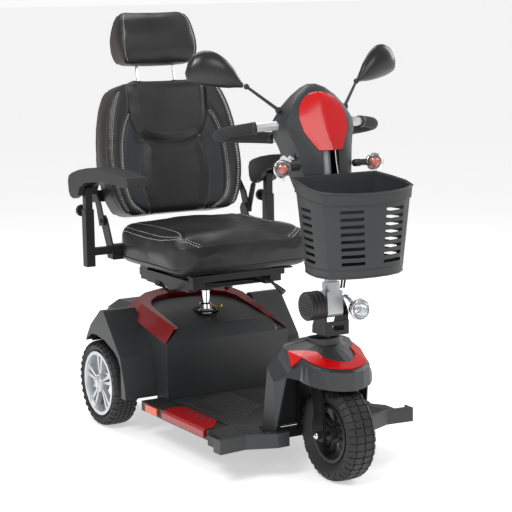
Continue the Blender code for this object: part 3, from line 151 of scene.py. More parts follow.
shade("leather_gusset", (0.0150, 0.0115, 0.0105), 0.40, vary=0.16, scale=6, grain=620, bump=0.22,
      depth=0.0005, kind="pebble")
shade("leather_panel", (0.0125, 0.0140, 0.0180), 0.36, vary=0.16, scale=8, grain=900, bump=0.22,
      depth=0.0005, kind="pebble")


# ---------------------------------------------------------------- CAD nodes
def dress(node, finish, bevel, angle):
    """Gives a CAD node its finish and rounds or sharpens its edges with modifiers; its own mesh stays."""
    obj = NODES[node]
    obj.data.materials.clear()
    obj.data.materials.append(MATERIALS[finish])
    mesh = obj.data
    for name in ("custom_normal", "sharp_edge", "sharp_face"):
        layer = mesh.attributes.get(name)
        if layer:
            mesh.attributes.remove(layer)
    mesh.polygons.foreach_set("use_smooth", [True] * len(mesh.polygons))
    weld = obj.modifiers.new("weld", "WELD")
    weld.merge_threshold = 0.00002
    if bevel:
        flat = obj.modifiers.new("flat", "DECIMATE")
        flat.decimate_type = "DISSOLVE"
        flat.angle_limit = math.radians(0.4)
        edge = obj.modifiers.new("edge", "BEVEL")
        edge.width = bevel
        edge.segments = 2
        edge.limit_method = "ANGLE"
        edge.angle_limit = math.radians(angle)
        edge.use_clamp_overlap = True
        edge.miter_outer = "MITER_ARC"
        even = obj.modifiers.new("even", "WEIGHTED_NORMAL")
        even.keep_sharp = True
        even.weight = 60
    else:
        split = obj.modifiers.new("split", "EDGE_SPLIT")
        split.split_angle = math.radians(angle)


DRESS = (
    ("frame", "coated_steel", 0, 30),
    ("floor_pan", "moulded_black", 0.0012, 25),
    ("floor_mat", "mat_rubber", 0.0006, 25),
    ("floor_insert_*", "red_insert", 0.0008, 20),
    ("reflector_*", "reflector", 0.0008, 30),
    ("bumper_*", "charcoal", 0.0020, 20),
    ("rear_body", "charcoal", 0.0040, 14),
    ("body_trim", "red_paint", 0.0016, 12),
    ("front_shroud", "charcoal", 0.0012, 9),
    ("shroud_band", "red_gloss", 0.0010, 12),
    ("transaxle", "coated_steel", 0, 30),
    ("battery_pack", "battery_case", 0.0015, 30),
    ("seat_post", "chrome", 0, 30),
    ("rear_rim_*", "rim_silver", 0, 28),
    ("front_rim", "moulded_black", 0, 28),
    ("fork", "coated_steel", 0.0008, 30),
    ("tiller_tube", "alloy", 0, 30),
    ("tilt_lever", "moulded_black", 0, 40),
    ("horn_pod", "moulded_black", 0, 30),
    ("headlamp", "chrome", 0, 40),
    ("headlamp_lens", "clear_lens", 0, 40),
    ("basket", "charcoal_basket", 0, 30),
    ("head_cover", "charcoal", 0, 34),
    ("head_panel", "red_gloss", 0, 24),
    ("console", "moulded_black", 0.0010, 30),
    ("handlebar", "alloy", 0, 35),
    ("throttle_lever", "moulded_black", 0.0008, 30),
    ("key", "chrome", 0, 30),
    ("mirror_arm_*", "moulded_black", 0, 30),
    ("tiller_cables", "rubber", 0, 50),
    ("seat_base", "coated_steel", 0.0006, 30),
    ("swivel_lever", "moulded_black", 0, 50),
    ("seat_pan", "coated_steel", 0.0006, 30),
    ("slide_lever", "moulded_black", 0, 50),
    ("back_frame", "coated_steel", 0, 30),
    ("headrest_posts", "chrome", 0, 50),
    ("recline_lever", "moulded_black", 0.0010, 30),
    ("arm_bar_*", "coated_steel", 0.0006, 30),
    ("arm_post_*", "coated_steel", 0.0006, 30),
    ("armrest_*", "urethane", 0.0035, 25),
)
for pattern, finish, bevel, angle in DRESS:
    for word in ("left", "right") if "*" in pattern else ("",):
        dress(pattern.replace("*", word), finish, bevel, angle)


# ---------------------------------------------------------------- mesh helpers
def mesh_piece(name, bm, finish, body, smooth=True, stands_for=()):
    """Makes a visible piece from a bmesh, with its finishes, on its body; hides the nodes it stands for."""
    bmesh.ops.recalc_face_normals(bm, faces=bm.faces)
    mesh = bpy.data.meshes.new(name)
    bm.to_mesh(mesh)
    bm.free()
    mesh.polygons.foreach_set("use_smooth", [smooth] * len(mesh.polygons))
    obj = bpy.data.objects.new(name, mesh)
    bpy.context.scene.collection.objects.link(obj)
    for item in [finish] if isinstance(finish, str) else finish:
        mesh.materials.append(MATERIALS[item])
    if body:
        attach(obj, body)
    if stands_for:
        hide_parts(*stands_for)
    return obj


def join(bm, other, matrix=None):
    """Adds one bmesh to another."""
    if matrix is not None:
        other.transform(matrix)
    mesh = bpy.data.meshes.new("part")
    other.to_mesh(mesh)
    other.free()
    bm.from_mesh(mesh)
    bpy.data.meshes.remove(mesh)


def spin(profile, steps=40, axis="z"):
    """A turned form from (radius, height) pairs."""
    bm = bmesh.new()
    rings = []
    for r, h in profile:
        if r < 1e-6:
            rings.append([bm.verts.new((0, 0, h))])
            continue
        turns = [2 * math.pi * k / steps for k in range(steps)]
        rings.append([bm.verts.new((r * math.cos(a), r * math.sin(a), h)) for a in turns])
    for one, two in zip(rings, rings[1:]):
        for k in range(steps):
            n = (k + 1) % steps
            if len(one) == 1 and len(two) == 1:
                continue
            if len(one) == 1:
                bm.faces.new((one[0], two[n], two[k]))
            elif len(two) == 1:
                bm.faces.new((one[k], one[n], two[0]))
            else:
                bm.faces.new((one[k], one[n], two[n], two[k]))
    if axis == "x":
        bm.transform(Matrix.Rotation(math.radians(90), 4, "Y"))
    return bm


def curve_points(points, each):
    """A smooth path through the points."""
    pts = [Vector(p) for p in points]
    count = len(pts)
    out = []
    for i in range(count - 1):
        a, b, c, d = (pts[min(max(i + k, 0), count - 1)] for k in (-1, 0, 1, 2))
        for step in range(each):
            t = step / each
            out.append(0.5 * (2 * b + (c - a) * t + (2 * a - 5 * b + 4 * c - d) * t * t
                              + (3 * b - a - 3 * c + d) * t ** 3))
    out.append(pts[-1])
    return out


def tube(points, radius, sides, closed=False):
    """A round tube along a path; radius is a number or a function of the share of the way along."""
    bm = bmesh.new()
    count = len(points)
    rings = []
    last = None
    for i, p in enumerate(points):
        ahead = points[(i + 1) % count] if closed or i < count - 1 else p
        behind = points[i - 1] if closed or i > 0 else p
        along = (ahead - behind).normalized()
        side = last if last is not None else Vector((0, 0, 1))
        if abs(side.dot(along)) > 0.95:
            side = Vector((1, 0, 0))
        side = (side - along * side.dot(along)).normalized()
        last = side
        other = along.cross(side)
        r = radius(i / max(count - 1, 1)) if callable(radius) else radius
        turns = [2 * math.pi * k / sides for k in range(sides)]
        rings.append([bm.verts.new(p + (side * math.cos(a) + other * math.sin(a)) * r) for a in turns])
    pairs = list(zip(rings, rings[1:]))
    if closed:
        pairs.append((rings[-1], rings[0]))
    for one, two in pairs:
        for k in range(sides):
            n = (k + 1) % sides
            bm.faces.new((one[k], one[n], two[n], two[k]))
    if not closed:
        bm.faces.new(rings[0])
        bm.faces.new(rings[-1])
    return bm


def block(low, high, bevel, segments=2):
    """A box with rounded edges."""
    bm = bmesh.new()
    bmesh.ops.create_cube(bm, size=1)
    low, high = Vector(low), Vector(high)
    for v in bm.verts:
        v.co = Vector([(low[i] + high[i]) / 2 + v.co[i] * (high[i] - low[i]) for i in range(3)])
    bmesh.ops.bevel(bm, geom=bm.edges, offset=bevel, segments=segments, affect="EDGES", profile=0.6)
    return bm


def tree_of(obj):
    graph = bpy.context.evaluated_depsgraph_get()
    done = obj.evaluated_get(graph)
    mesh = done.to_mesh()
    matrix = obj.matrix_world
    spots = [matrix @ v.co for v in mesh.vertices]
    tree = BVHTree.FromPolygons(spots, [p.vertices[:] for p in mesh.polygons])
    done.to_mesh_clear()
    return tree


def drop(tree, x, y, top=2.0):
    """Where a vertical line meets the surface from above."""
    return tree.ray_cast(Vector((x, y, top)), Vector((0, 0, -1)))[0]


# ---------------------------------------------------------------- padded seat pieces
CLOTH_FRAMES = 20


def puff(obj, voxel, pressure, cap):
    """Swells a closed mesh a little with a short pressure simulation, then leaves it a plain mesh."""
    remesh = obj.modifiers.new("remesh", "REMESH")
    remesh.mode = "VOXEL"
    remesh.voxel_size = voxel
    keep_evaluated(obj)
    rest = coords(obj.data)
    cloth = obj.modifiers.new("cloth", "CLOTH")
    cloth.settings.quality = 4
    cloth.settings.mass = 0.25
    cloth.settings.tension_stiffness = 12
    cloth.settings.bending_stiffness = 0.8
    cloth.settings.use_pressure = True
    cloth.settings.uniform_pressure_force = pressure
    cloth.settings.effector_weights.gravity = 0
    scene = bpy.context.scene
    for f in range(1, CLOTH_FRAMES + 1):
        scene.frame_set(f)
    keep_evaluated(obj)
    scene.frame_set(1)
    moved = coords(obj.data) - rest
    length = np.linalg.norm(moved, axis=1, keepdims=True)
    moved *= np.minimum(1, cap / np.maximum(length, 1e-9))
    put(obj.data, rest + moved)
    even = obj.modifiers.new("even", "SMOOTH")
    even.factor = 0.5
    even.iterations = 14
    keep_evaluated(obj)
    sub = obj.modifiers.new("round", "SUBSURF")
    sub.levels = 1
    sub.render_levels = 1
    keep_evaluated(obj)


def keep_evaluated(obj):
    graph = bpy.context.evaluated_depsgraph_get()
    graph.update()
    mesh = bpy.data.meshes.new_from_object(obj.evaluated_get(graph))
    old = obj.data
    obj.modifiers.clear()
    obj.data = mesh
    bpy.data.meshes.remove(old)


def coords(mesh):
    out = np.zeros(len(mesh.vertices) * 3)
    mesh.vertices.foreach_get("co", out)
    return out.reshape(-1, 3)


def normals(mesh):
    out = np.zeros(len(mesh.vertices) * 3)
    mesh.vertex_normals.foreach_get("vector", out)
    return out.reshape(-1, 3)


def put(mesh, co):
    mesh.vertices.foreach_set("co", co.astype(np.float32).ravel())
    mesh.update()


def reach(points, path):
    """Distance from each 2D point to a dense 2D path."""
    path = np.array(path)
    best = np.full(len(points), 9.0)
    for q in path:
        best = np.minimum(best, np.hypot(points[:, 0] - q[0], points[:, 1] - q[1]))
    return best


def bulge(t):
    t = np.clip(t, 0, 1)
    return t * t * (3 - 2 * t)


THREAD_PITCH, THREAD_LONG, THREAD_LIFT = 0.0075, 0.0048, 0.0004


def stitches(name, path, tree, body, wide=0.0013):
    """A row of short raised threads along a path that is laid on a surface."""
    bm = bmesh.new()
    for _ in range(6):
        path = [path[0]] + [(a + b * 2 + c) / 4 for a, b, c in zip(path, path[1:], path[2:])] + [path[-1]]
    spots = []
    for p in path:
        spot, normal, _, _ = tree.find_nearest(p)
        spots.append((spot, normal))
    along_total = 0.0
    next_at = 0.0
    for (a, na), (b, _) in zip(spots, spots[1:]):
        step = (b - a).length
        if step < 1e-7:
            continue
        while next_at <= along_total + step:
            t = (next_at - along_total) / step
            centre = a.lerp(b, t) + na * THREAD_LIFT
            along = (b - a).normalized()
            side = na.cross(along).normalized()
            ends = []
            for s, w, h in ((-0.5, 0.35, 0.0), (-0.25, 1.0, 1.0), (0.25, 1.0, 1.0), (0.5, 0.35, 0.0)):
                mid = centre + along * (s * THREAD_LONG)
                half = side * (wide * 0.5 * w)
                rise = na * (0.0007 * h)
                sunk = na * 0.0008
                four = (mid - half - sunk, mid - half * 0.8 + rise, mid + half * 0.8 + rise, mid + half - sunk)
                ends.append([bm.verts.new(q) for q in four])
            for one, two in zip(ends, ends[1:]):
                for k in range(4):
                    n = (k + 1) % 4
                    bm.faces.new((one[k], one[n], two[n], two[k]))
            bm.faces.new(ends[0])
            bm.faces.new(ends[-1])
            next_at += THREAD_PITCH
        along_total += step
    mesh_piece(name, bm, "thread", body)


def piping(name, path, tree, body, radius):
    """A cord of leather along a path that is laid on a surface."""
    spots = []
    for p in path:
        spot, normal, _, _ = tree.find_nearest(p)
        spots.append(spot + normal * THREAD_LIFT)
    mesh_piece(name, tube(spots, radius, 8), "leather", body)


def rounded_ring(half, front, rear, radius, per_corner, across, deep, wing):
    """An outline in x and y: rounded corners, a front that may curve forward to its sides."""
    radius = max(min(radius, half * 0.9, (rear - front) * 0.48), 0.0004)
    flat = half - radius

    def face_y(x):
        return front - wing * (x / max(half, 1e-6)) ** 2

    def corner(x, y, start, steps):
        turns = [start + math.pi / 2 * k / per_corner for k in steps]
        return [(x + radius * math.cos(a), y + radius * math.sin(a)) for a in turns]

    out = []
    for k in range(across + 1):
        x = -flat + 2 * flat * k / across
        out.append((x, face_y(x)))
    y0 = face_y(flat) + radius
    out += corner(flat, y0, -math.pi / 2, range(1, per_corner + 1))
    out += [(half, y0 + (rear - radius - y0) * k / deep) for k in range(1, deep)]
    out += corner(flat, rear - radius, 0, range(per_corner + 1))
    out += [(half - radius - 2 * flat * k / across, rear) for k in range(1, across)]
    out += corner(-half + radius, rear - radius, math.pi / 2, range(per_corner + 1))
    out += [(-half, rear - radius + (y0 - rear + radius) * k / deep) for k in range(1, deep)]
    return out + corner(-half + radius, y0, math.pi, range(per_corner))


def lofted(rings):
    """A closed skin over a stack of rings."""
    bm = bmesh.new()
    made = [[bm.verts.new(p) for p in ring] for ring in rings]
    count = len(made[0])
    for one, two in zip(made, made[1:]):
        for k in range(count):
            n = (k + 1) % count
            bm.faces.new((one[k], one[n], two[n], two[k]))
    bm.faces.new(made[0])
    bm.faces.new(made[-1])
    return bm


def along(table, at):
    """A smooth value from a table of (where, value) pairs."""
    xs = [row[0] for row in table]
    ys = [row[1] for row in table]
    at = min(max(at, xs[0]), xs[-1])
    for i in range(len(xs) - 1):
        if at <= xs[i + 1]:
            t = (at - xs[i]) / (xs[i + 1] - xs[i])
            p0 = ys[max(i - 1, 0)]
            p1, p2 = ys[i], ys[i + 1]
            p3 = ys[min(i + 2, len(ys) - 1)]
            return 0.5 * (2 * p1 + (p2 - p0) * t + (2 * p0 - 5 * p1 + 4 * p2 - p3) * t * t
                          + (3 * p1 - p0 - 3 * p2 + p3) * t ** 3)
    return ys[-1]


def end_inset(at, low, high, r_low, r_high):
    """How far a row draws in near the rounded ends of a pad."""
    gap_low, gap_high = at - low, high - at
    inset = 0.0
    if gap_low < r_low:
        inset = r_low - math.sqrt(max(r_low ** 2 - (r_low - gap_low) ** 2, 0))
    if gap_high < r_high:
        inset = max(inset, r_high - math.sqrt(max(r_high ** 2 - (r_high - gap_high) ** 2, 0)))
    return inset


def pad_of(obj, body, node):
    """Makes a pad smooth and puts it on its body in place of its node; returns its surface tree."""
    obj.data.polygons.foreach_set("use_smooth", [True] * len(obj.data.polygons))
    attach(obj, body)
    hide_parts(node)
    return tree_of(obj)


def dense(rows):
    return [(p.x, p.y) for p in curve_points([(x, y, 0) for x, y in rows], 14)]


# Seat cushion
CUSH_X = 0.224
CUSH_FRONT = -0.012 + SHIFT
CUSH_REAR = 0.396 + SHIFT
CUSH_LOW, CUSH_HIGH = 0.4885, 0.603


def cushion_base():
    rings = []
    levels = 26
    for i in range(levels):
        z = CUSH_LOW + (CUSH_HIGH - 0.004 - CUSH_LOW) * i / (levels - 1)
        inset = end_inset(z, CUSH_LOW, CUSH_HIGH - 0.004, 0.016, 0.034)
        half = CUSH_X - 0.003 - inset
        front = CUSH_FRONT + 0.004 + inset * (1.5 if z > 0.54 else 1.0)
        ring = rounded_ring(half, front, CUSH_REAR - 0.004 - inset * 0.35, 0.040, 8, 22, 14, wing=-0.012)
        rings.append([(x, y, z) for x, y in ring])
    return lofted(rings)


SEAM_OUT = ((0.206, 0.362), (0.207, 0.200), (0.203, 0.090), (0.186, 0.034), (0.148, 0.010))
SEAM_IN = ((0.170, 0.362), (0.158, 0.240), (0.158, 0.130), (0.172, 0.066), (0.186, 0.040))

cushion = mesh_piece("seat_cushion_soft", cushion_base(), ["leather", "leather_gusset"], None)
puff(cushion, 0.006, 2.5, 0.005)
co = coords(cushion.data)
nn = normals(cushion.data)
top = bulge((nn[:, 2] - 0.15) / 0.6)
flat = co[:, :2].copy()
flat[:, 1] -= SHIFT
mirror_flat = np.column_stack([np.abs(flat[:, 0]), flat[:, 1]])
d_in = reach(mirror_flat, dense(SEAM_IN))
d_out = reach(mirror_flat, dense(SEAM_OUT))
lift = np.zeros(len(co))
lift -= 0.0042 * np.exp(-((d_in / 0.0060) ** 2)) * top
lift -= 0.0030 * np.exp(-((d_out / 0.0050) ** 2)) * bulge((nn[:, 2] + 0.1) / 0.5)
centre = bulge(1 - mirror_flat[:, 0] / 0.16) * bulge((flat[:, 1] + 0.02) / 0.08)
lift += 0.0065 * centre * top
ends = bulge((0.10 - flat[:, 1]) / 0.10) * top
co[:, 2] -= 0.006 * ends
for i, p in enumerate(co):
    soft = noise.noise(Vector((p[0] * 9, p[1] * 15, p[2] * 9)))
    fold = noise.noise(Vector((p[0] * 22 + 3 * p[1], p[1] * 46, p[2] * 12)))
    lift[i] += 0.0016 * soft + 0.0007 * fold * top[i]
co += nn * lift[:, None]
co[:, 2] = np.maximum(co[:, 2], CUSH_LOW - 0.001)
put(cushion.data, co)
for face in cushion.data.polygons:
    face.material_index = 0
seat_tree = pad_of(cushion, "seat", "seat_cushion")
for side, word in SIDES:
    for label, rows, offsets in (("outer", SEAM_OUT, (-0.0045, 0.0045)), ("inner", SEAM_IN, (0.005,))):
        base = curve_points([(side * x, y + SHIFT, 0.0) for x, y in rows], 12)
        for n, off in enumerate(offsets):
            path = []
            for i, p in enumerate(base):
                ahead = base[min(i + 1, len(base) - 1)] - base[max(i - 1, 0)]
                out = Vector((ahead.y, -ahead.x, 0)).normalized() * side
                q = p - out * off
                spot = drop(seat_tree, q.x, q.y)
                path.append(spot if spot else Vector((q.x, q.y, 0.57)))
            stitches(f"cushion_thread_{label}_{n}_{word}", path, seat_tree, "seat")
welt = rounded_ring(CUSH_X - 0.001, CUSH_FRONT + 0.002, CUSH_REAR - 0.002, 0.040, 8, 18, 12, wing=-0.012)
rim = [seat_tree.find_nearest(Vector((x, y, CUSH_LOW + 0.016)))[0] for x, y in welt]
mesh_piece("cushion_welt", tube(rim, 0.0026, 8, closed=True), "leather", "seat")

# Backrest
BACK_EDGE = ((0.0, 0.170), (0.020, 0.194), (0.060, 0.213), (0.130, 0.226), (0.200, 0.225), (0.270, 0.216),
             (0.330, 0.201), (0.370, 0.183), (0.394, 0.160), (0.405, 0.126))
rings = []
count = 40
for i in range(count):
    up = 0.003 + 0.399 * i / (count - 1)
    inset = end_inset(up, 0.003, 0.402, 0.010, 0.016)
    half = along(BACK_EDGE, up) - 0.003 - inset * 0.3
    ring = rounded_ring(half, -0.024 + inset, 0.053 - inset, 0.012, 5, 24, 6, wing=0.020)
    rings.append([BACK @ Vector((x, y, up)) for x, y in ring])
pad = mesh_piece("backrest_soft", lofted(rings), ["leather", "leather_gusset", "leather_panel"], None)
puff(pad, 0.006, 2.5, 0.0025)
INNER = ((0.322, 0.118), (0.300, 0.132), (0.265, 0.151), (0.200, 0.166), (0.107, 0.168), (0.045, 0.152),
         (0.012, 0.108))
PANEL = ((0.238, 0.086), (0.180, 0.108), (0.110, 0.112), (0.010, 0.092))
PILLOW = ((0.402, 0.135), (0.340, 0.133), (0.290, 0.129), (0.255, 0.116), (0.235, 0.092), (0.221, 0.050),
          (0.217, 0.0))
inverse = BACK.inverted()
co = coords(pad.data)
nn = normals(pad.data)
turn = np.array(inverse.to_3x3())
local = co @ turn.T + np.array(inverse.translation)
ln = nn @ turn.T
front = bulge((-ln[:, 1] - 0.2) / 0.5)
flat = np.column_stack([np.abs(local[:, 0]), local[:, 2]])


def swapped(rows):
    return [(half, up) for up, half in rows]


pillow_path = dense(swapped(PILLOW))
half_pillow = np.array([along(PILLOW[::-1], min(max(u, 0.217), 0.402)) for u in flat[:, 1]])
in_pillow = (flat[:, 1] > 0.217) & (flat[:, 0] < half_pillow)
d_pillow = reach(flat, pillow_path)
d_inner = reach(flat, dense(swapped(INNER)))
d_panel = reach(flat, dense(swapped(PANEL)))
half_inner = np.array([along(INNER[::-1], min(max(u, 0.012), 0.322)) for u in flat[:, 1]])
outside = flat[:, 0] > half_inner
push = np.zeros(len(co))
push += np.where(in_pillow, 0.0120 * bulge(d_pillow / 0.030), 0)
push += np.where(~in_pillow & outside, 0.0060 * bulge(d_inner / 0.022), 0)
middle = ~in_pillow & (flat[:, 0] < 0.105) & (flat[:, 1] < 0.24)
push += np.where(middle, 0.0050 * bulge(np.minimum(d_panel, d_pillow) / 0.035), 0)
push -= 0.0030 * np.exp(-((d_pillow / 0.0055) ** 2))
push -= np.where(in_pillow, 0, 0.0036 * np.exp(-((d_inner / 0.0050) ** 2)))
push -= np.where(in_pillow, 0, 0.0028 * np.exp(-((d_panel / 0.0050) ** 2)))
for i, p in enumerate(local):
    push[i] += 0.0013 * noise.noise(Vector((p[0] * 9, p[1] * 9, p[2] * 9)))
    push[i] += 0.0006 * noise.noise(Vector((p[0] * 14, p[1] * 9, p[2] * 40)))
co += nn * (push * front)[:, None]
put(pad.data, co)
centres = np.array([face.center[:] for face in pad.data.polygons]) @ turn.T + np.array(inverse.translation)
for face, c in zip(pad.data.polygons, centres):
    n = inverse.to_3x3() @ face.normal
    x, up = abs(c[0]), c[2]
    if abs(n.x) > 0.75 or n.y > 0.55:
        face.material_index = 1
    elif n.y < -0.3 and 0.015 < up < 0.30 and x < along(INNER[::-1], up) and \
            x > along(PANEL[::-1], min(up, 0.238)) and not (up > 0.217 and x < 0.128):
        face.material_index = 2
back_tree = pad_of(pad, "back", "backrest")


def on_back(tree, x, up):
    return tree.ray_cast(BACK @ Vector((x, -0.30, up)), BACK.to_3x3() @ Vector((0, 1, 0)))[0]


for side, word in SIDES:
    base = curve_points([(side * h, u, 0) for u, h in INNER[1:]], 12)
    for n, off in enumerate((0.0045, 0.0085)):
        path = []
        for i, p in enumerate(base):
            ahead = base[min(i + 1, len(base) - 1)] - base[max(i - 1, 0)]
            out = Vector((-ahead.y, ahead.x, 0)).normalized()
            if out.x * side < 0:
                out = -out
            q = p + out * off
            spot = on_back(back_tree, q.x, q.y)
            if spot:
                path.append(spot)
        stitches(f"back_thread_{n}_{word}", path, back_tree, "back")
    edge_path = []
    for k in range(56):
        up = 0.012 + 0.376 * k / 55
        edge_path.append(BACK @ Vector((side * (along(BACK_EDGE, up) - 0.001), -0.044, up)))
    piping(f"back_piping_front_{word}", edge_path, back_tree, "back", 0.0025)
    for n, off in enumerate((0.0085, 0.0125)):
        path = []
        for k in range(56):
            up = 0.022 + 0.350 * k / 55
            spot = on_back(back_tree, side * (along(BACK_EDGE, up) - 0.006 - off), up)
            if spot:
                path.append(spot)
        stitches(f"back_thread_edge_{n}_{word}", path, back_tree, "back")
    rear_path = [BACK @ Vector((side * (along(BACK_EDGE, 0.012 + 0.376 * k / 55) - 0.001), 0.052,
                                0.012 + 0.376 * k / 55)) for k in range(56)]
    piping(f"back_piping_rear_{word}", rear_path, back_tree, "back", 0.0025)
pillow_line = [on_back(back_tree, x, u) for x, u in [(-x, u) for x, u in pillow_path] + pillow_path[::-1]]
mesh_piece("pillow_welt", tube([p for p in pillow_line if p], 0.0018, 8), "leather", "back")

# Headrest
HEAD = ((0.456, 0.110), (0.470, 0.124), (0.500, 0.130), (0.545, 0.128), (0.590, 0.120), (0.612, 0.110),
        (0.619, 0.100))
DEEP = ((0.456, 0.024), (0.470, 0.036), (0.500, 0.044), (0.545, 0.044), (0.590, 0.034), (0.612, 0.020),
        (0.619, 0.010))
rings = []
for i in range(30):
    up = 0.457 + 0.162 * i / 29
    half, deep = along(HEAD, up) - 0.002, along(DEEP, up) - 0.001
    rear = 0.018 + deep * (1.0 - 0.2 * bulge((up - 0.55) / 0.06))
    ring = rounded_ring(half, 0.018 - deep, rear, 0.009, 5, 16, 6, wing=-0.003)
    rings.append([BACK @ Vector((x, y, up)) for x, y in ring])
rest = mesh_piece("headrest_soft", lofted(rings), ["leather", "leather_gusset"], None)
puff(rest, 0.005, 3.0, 0.004)
co = coords(rest.data)
nn = normals(rest.data)
local = co @ turn.T + np.array(inverse.translation)
for i, p in enumerate(local):
    co[i] += nn[i] * (0.0010 * noise.noise(Vector((p[0] * 14, p[1] * 14, p[2] * 10))))
put(rest.data, co)
unturn = BACK.to_3x3().inverted()
for face in rest.data.polygons:
    face.material_index = 1 if abs((unturn @ face.normal).x) > 0.78 else 0
rest_tree = pad_of(rest, "headrest", "headrest")
for side, word in SIDES:
    for part, sign in (("front", -1), ("rear", 1)):
        path = []
        for k in range(40):
            up = 0.464 + 0.148 * k / 39
            deep = along(DEEP, up)
            if sign > 0:
                deep *= 1.0 - 0.2 * float(bulge((up - 0.55) / 0.06))
            path.append(BACK @ Vector((side * (along(HEAD, up) - 0.0015), 0.018 + sign * (deep - 0.004), up)))
        piping(f"headrest_piping_{part}_{word}", path, rest_tree, "headrest", 0.0022)
        if part == "front":
            inner = [p - BACK.to_3x3() @ Vector((side * 0.009, 0.006, 0)) for p in path]
            stitches(f"headrest_thread_{word}", inner, rest_tree, "headrest", wide=0.0011)
for side, word in SIDES:
    collar = spin(((0, 0), (0.0150, 0), (0.0155, 0.003), (0.0125, 0.007), (0.0065, 0.009), (0, 0.009)), 28)
    place = BACK @ Matrix.Translation((side * 0.0612, 0.030, 0.4005)) @ Matrix.Diagonal((1.15, 0.85, 1, 1))
    collar.transform(place)
    mesh_piece("post_collar_" + word, collar, "moulded_black", "back")

# ---------------------------------------------------------------- tyres
REAR_TYRE = ((0.0925, 0.028), (0.0985, 0.0315), (0.109, 0.0375), (0.1175, 0.0360), (0.1222, 0.0290),
             (0.1238, 0.0150), (0.1240, 0.0))
FRONT_TYRE = ((0.0765, 0.025), (0.085, 0.0315), (0.103, 0.0395), (0.1150, 0.0375), (0.1215, 0.0300),
              (0.1236, 0.0155), (0.1240, 0.0))


def tyre(name, profile, centre, body, stands_for, blocks, pitch):
    """A tyre turned from its profile, with tread blocks laid along its crown and shoulders."""
    half = curve_points([(r, w, 0) for r, w in profile], 4)
    full = [(p.x, p.y) for p in half] + [(p.x, -p.y) for p in half[-2::-1]]
    bm = bmesh.new()
    steps = 96
    rows = []
    for k in range(steps):
        a = 2 * math.pi * k / steps
        rows.append([bm.verts.new((w, r * math.cos(a), r * math.sin(a))) for r, w in full])
    for k in range(steps):
        one, two = rows[k], rows[(k + 1) % steps]
        for i in range(len(full) - 1):
            bm.faces.new((one[i], one[i + 1], two[i + 1], two[i]))
        bm.faces.new((one[-1], one[0], two[0], two[-1]))
    outer = curve_points([(r, w, 0) for r, w in profile[2:]], 10)
    outer = [(p.x, p.y) for p in outer]
    lengths = [0.0]
    for p, q in zip(outer[::-1], outer[::-1][1:]):
        lengths.append(lengths[-1] + math.dist(p, q))

    def at(v):
        """Radius, width and outward direction at a share v from the crown to the shoulder."""
        sign = -1 if v < 0 else 1
        want = min(abs(v), 0.999) * lengths[-1]
        seq = outer[::-1]
        for i in range(len(seq) - 1):
            if lengths[i + 1] >= want:
                t = (want - lengths[i]) / (lengths[i + 1] - lengths[i])
                r = seq[i][0] + (seq[i + 1][0] - seq[i][0]) * t
                w = seq[i][1] + (seq[i + 1][1] - seq[i][1]) * t
                dr, dw = seq[i + 1][0] - seq[i][0], seq[i + 1][1] - seq[i][1]
                n = math.hypot(dr, dw)
                return r, sign * w, dw / n, -dr / n * sign
        return (*seq[-1], 0.0, 1.0)

    for k in range(pitch):
        for outline in blocks:
            low_ring, high_ring = [], []
            fine = []
            for (u0, v0), (u1, v1) in zip(outline, outline[1:] + outline[:1]):
                for s in range(2):
                    fine.append((u0 + (u1 - u0) * s / 2, v0 + (v1 - v0) * s / 2))
            for u, v in fine:
                a = 2 * math.pi * (k + u) / pitch
                r, w, nr, nw = at(v)
                for ring, h in ((low_ring, -0.0012), (high_ring, 0.0030)):
                    rr, ww = r + nr * h, w + nw * h
                    ring.append(bm.verts.new((ww, rr * math.cos(a), rr * math.sin(a))))
            count = len(fine)
            for i in range(count):
                n = (i + 1) % count
                bm.faces.new((low_ring[i], low_ring[n], high_ring[n], high_ring[i]))
            bm.faces.new(high_ring)
            bm.faces.new(low_ring[::-1])
    bm.transform(Matrix.Translation(centre))
    obj = mesh_piece(name, bm, "rubber", body)
    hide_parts(stands_for)
    split = obj.modifiers.new("split", "EDGE_SPLIT")
    split.split_angle = math.radians(32)


def both(outlines):
    return outlines + [[(u + 0.5, -v) for u, v in outline][::-1] for outline in outlines]


ZIGZAG = both([
    [(0.02, 0.06), (0.24, 0.015), (0.46, 0.06), (0.53, 0.22), (0.45, 0.40), (0.24, 0.45), (0.04, 0.38),
     (0.09, 0.22)],
    [(0.54, 0.08), (0.76, 0.03), (0.96, 0.08), (1.03, 0.24), (0.96, 0.42), (0.74, 0.48), (0.54, 0.42),
     (0.60, 0.24)],
    [(0.04, 0.45), (0.22, 0.51), (0.46, 0.46), (0.50, 0.64), (0.46, 0.94), (0.06, 0.96)],
    [(0.56, 0.50), (0.74, 0.54), (0.97, 0.47), (1.00, 0.62), (0.95, 0.84), (0.57, 0.86)],
])
LUGS = both([
    [(0.04, 0.03), (0.44, 0.03), (0.62, 0.30), (0.22, 0.30)],
    [(0.56, 0.03), (0.94, 0.03), (1.12, 0.30), (0.74, 0.30)],
    [(0.14, 0.36), (0.58, 0.36), (0.62, 0.60), (0.18, 0.60)],
    [(0.66, 0.36), (1.06, 0.36), (1.10, 0.54), (0.72, 0.54)],
    [(0.20, 0.66), (0.58, 0.66), (0.60, 0.92), (0.24, 0.92)],
])
tyre("front_tyre_tread", FRONT_TYRE, (0, FRONT_AXLE_Y, WHEEL_Z), "front_wheel", "front_tyre", ZIGZAG, 20)
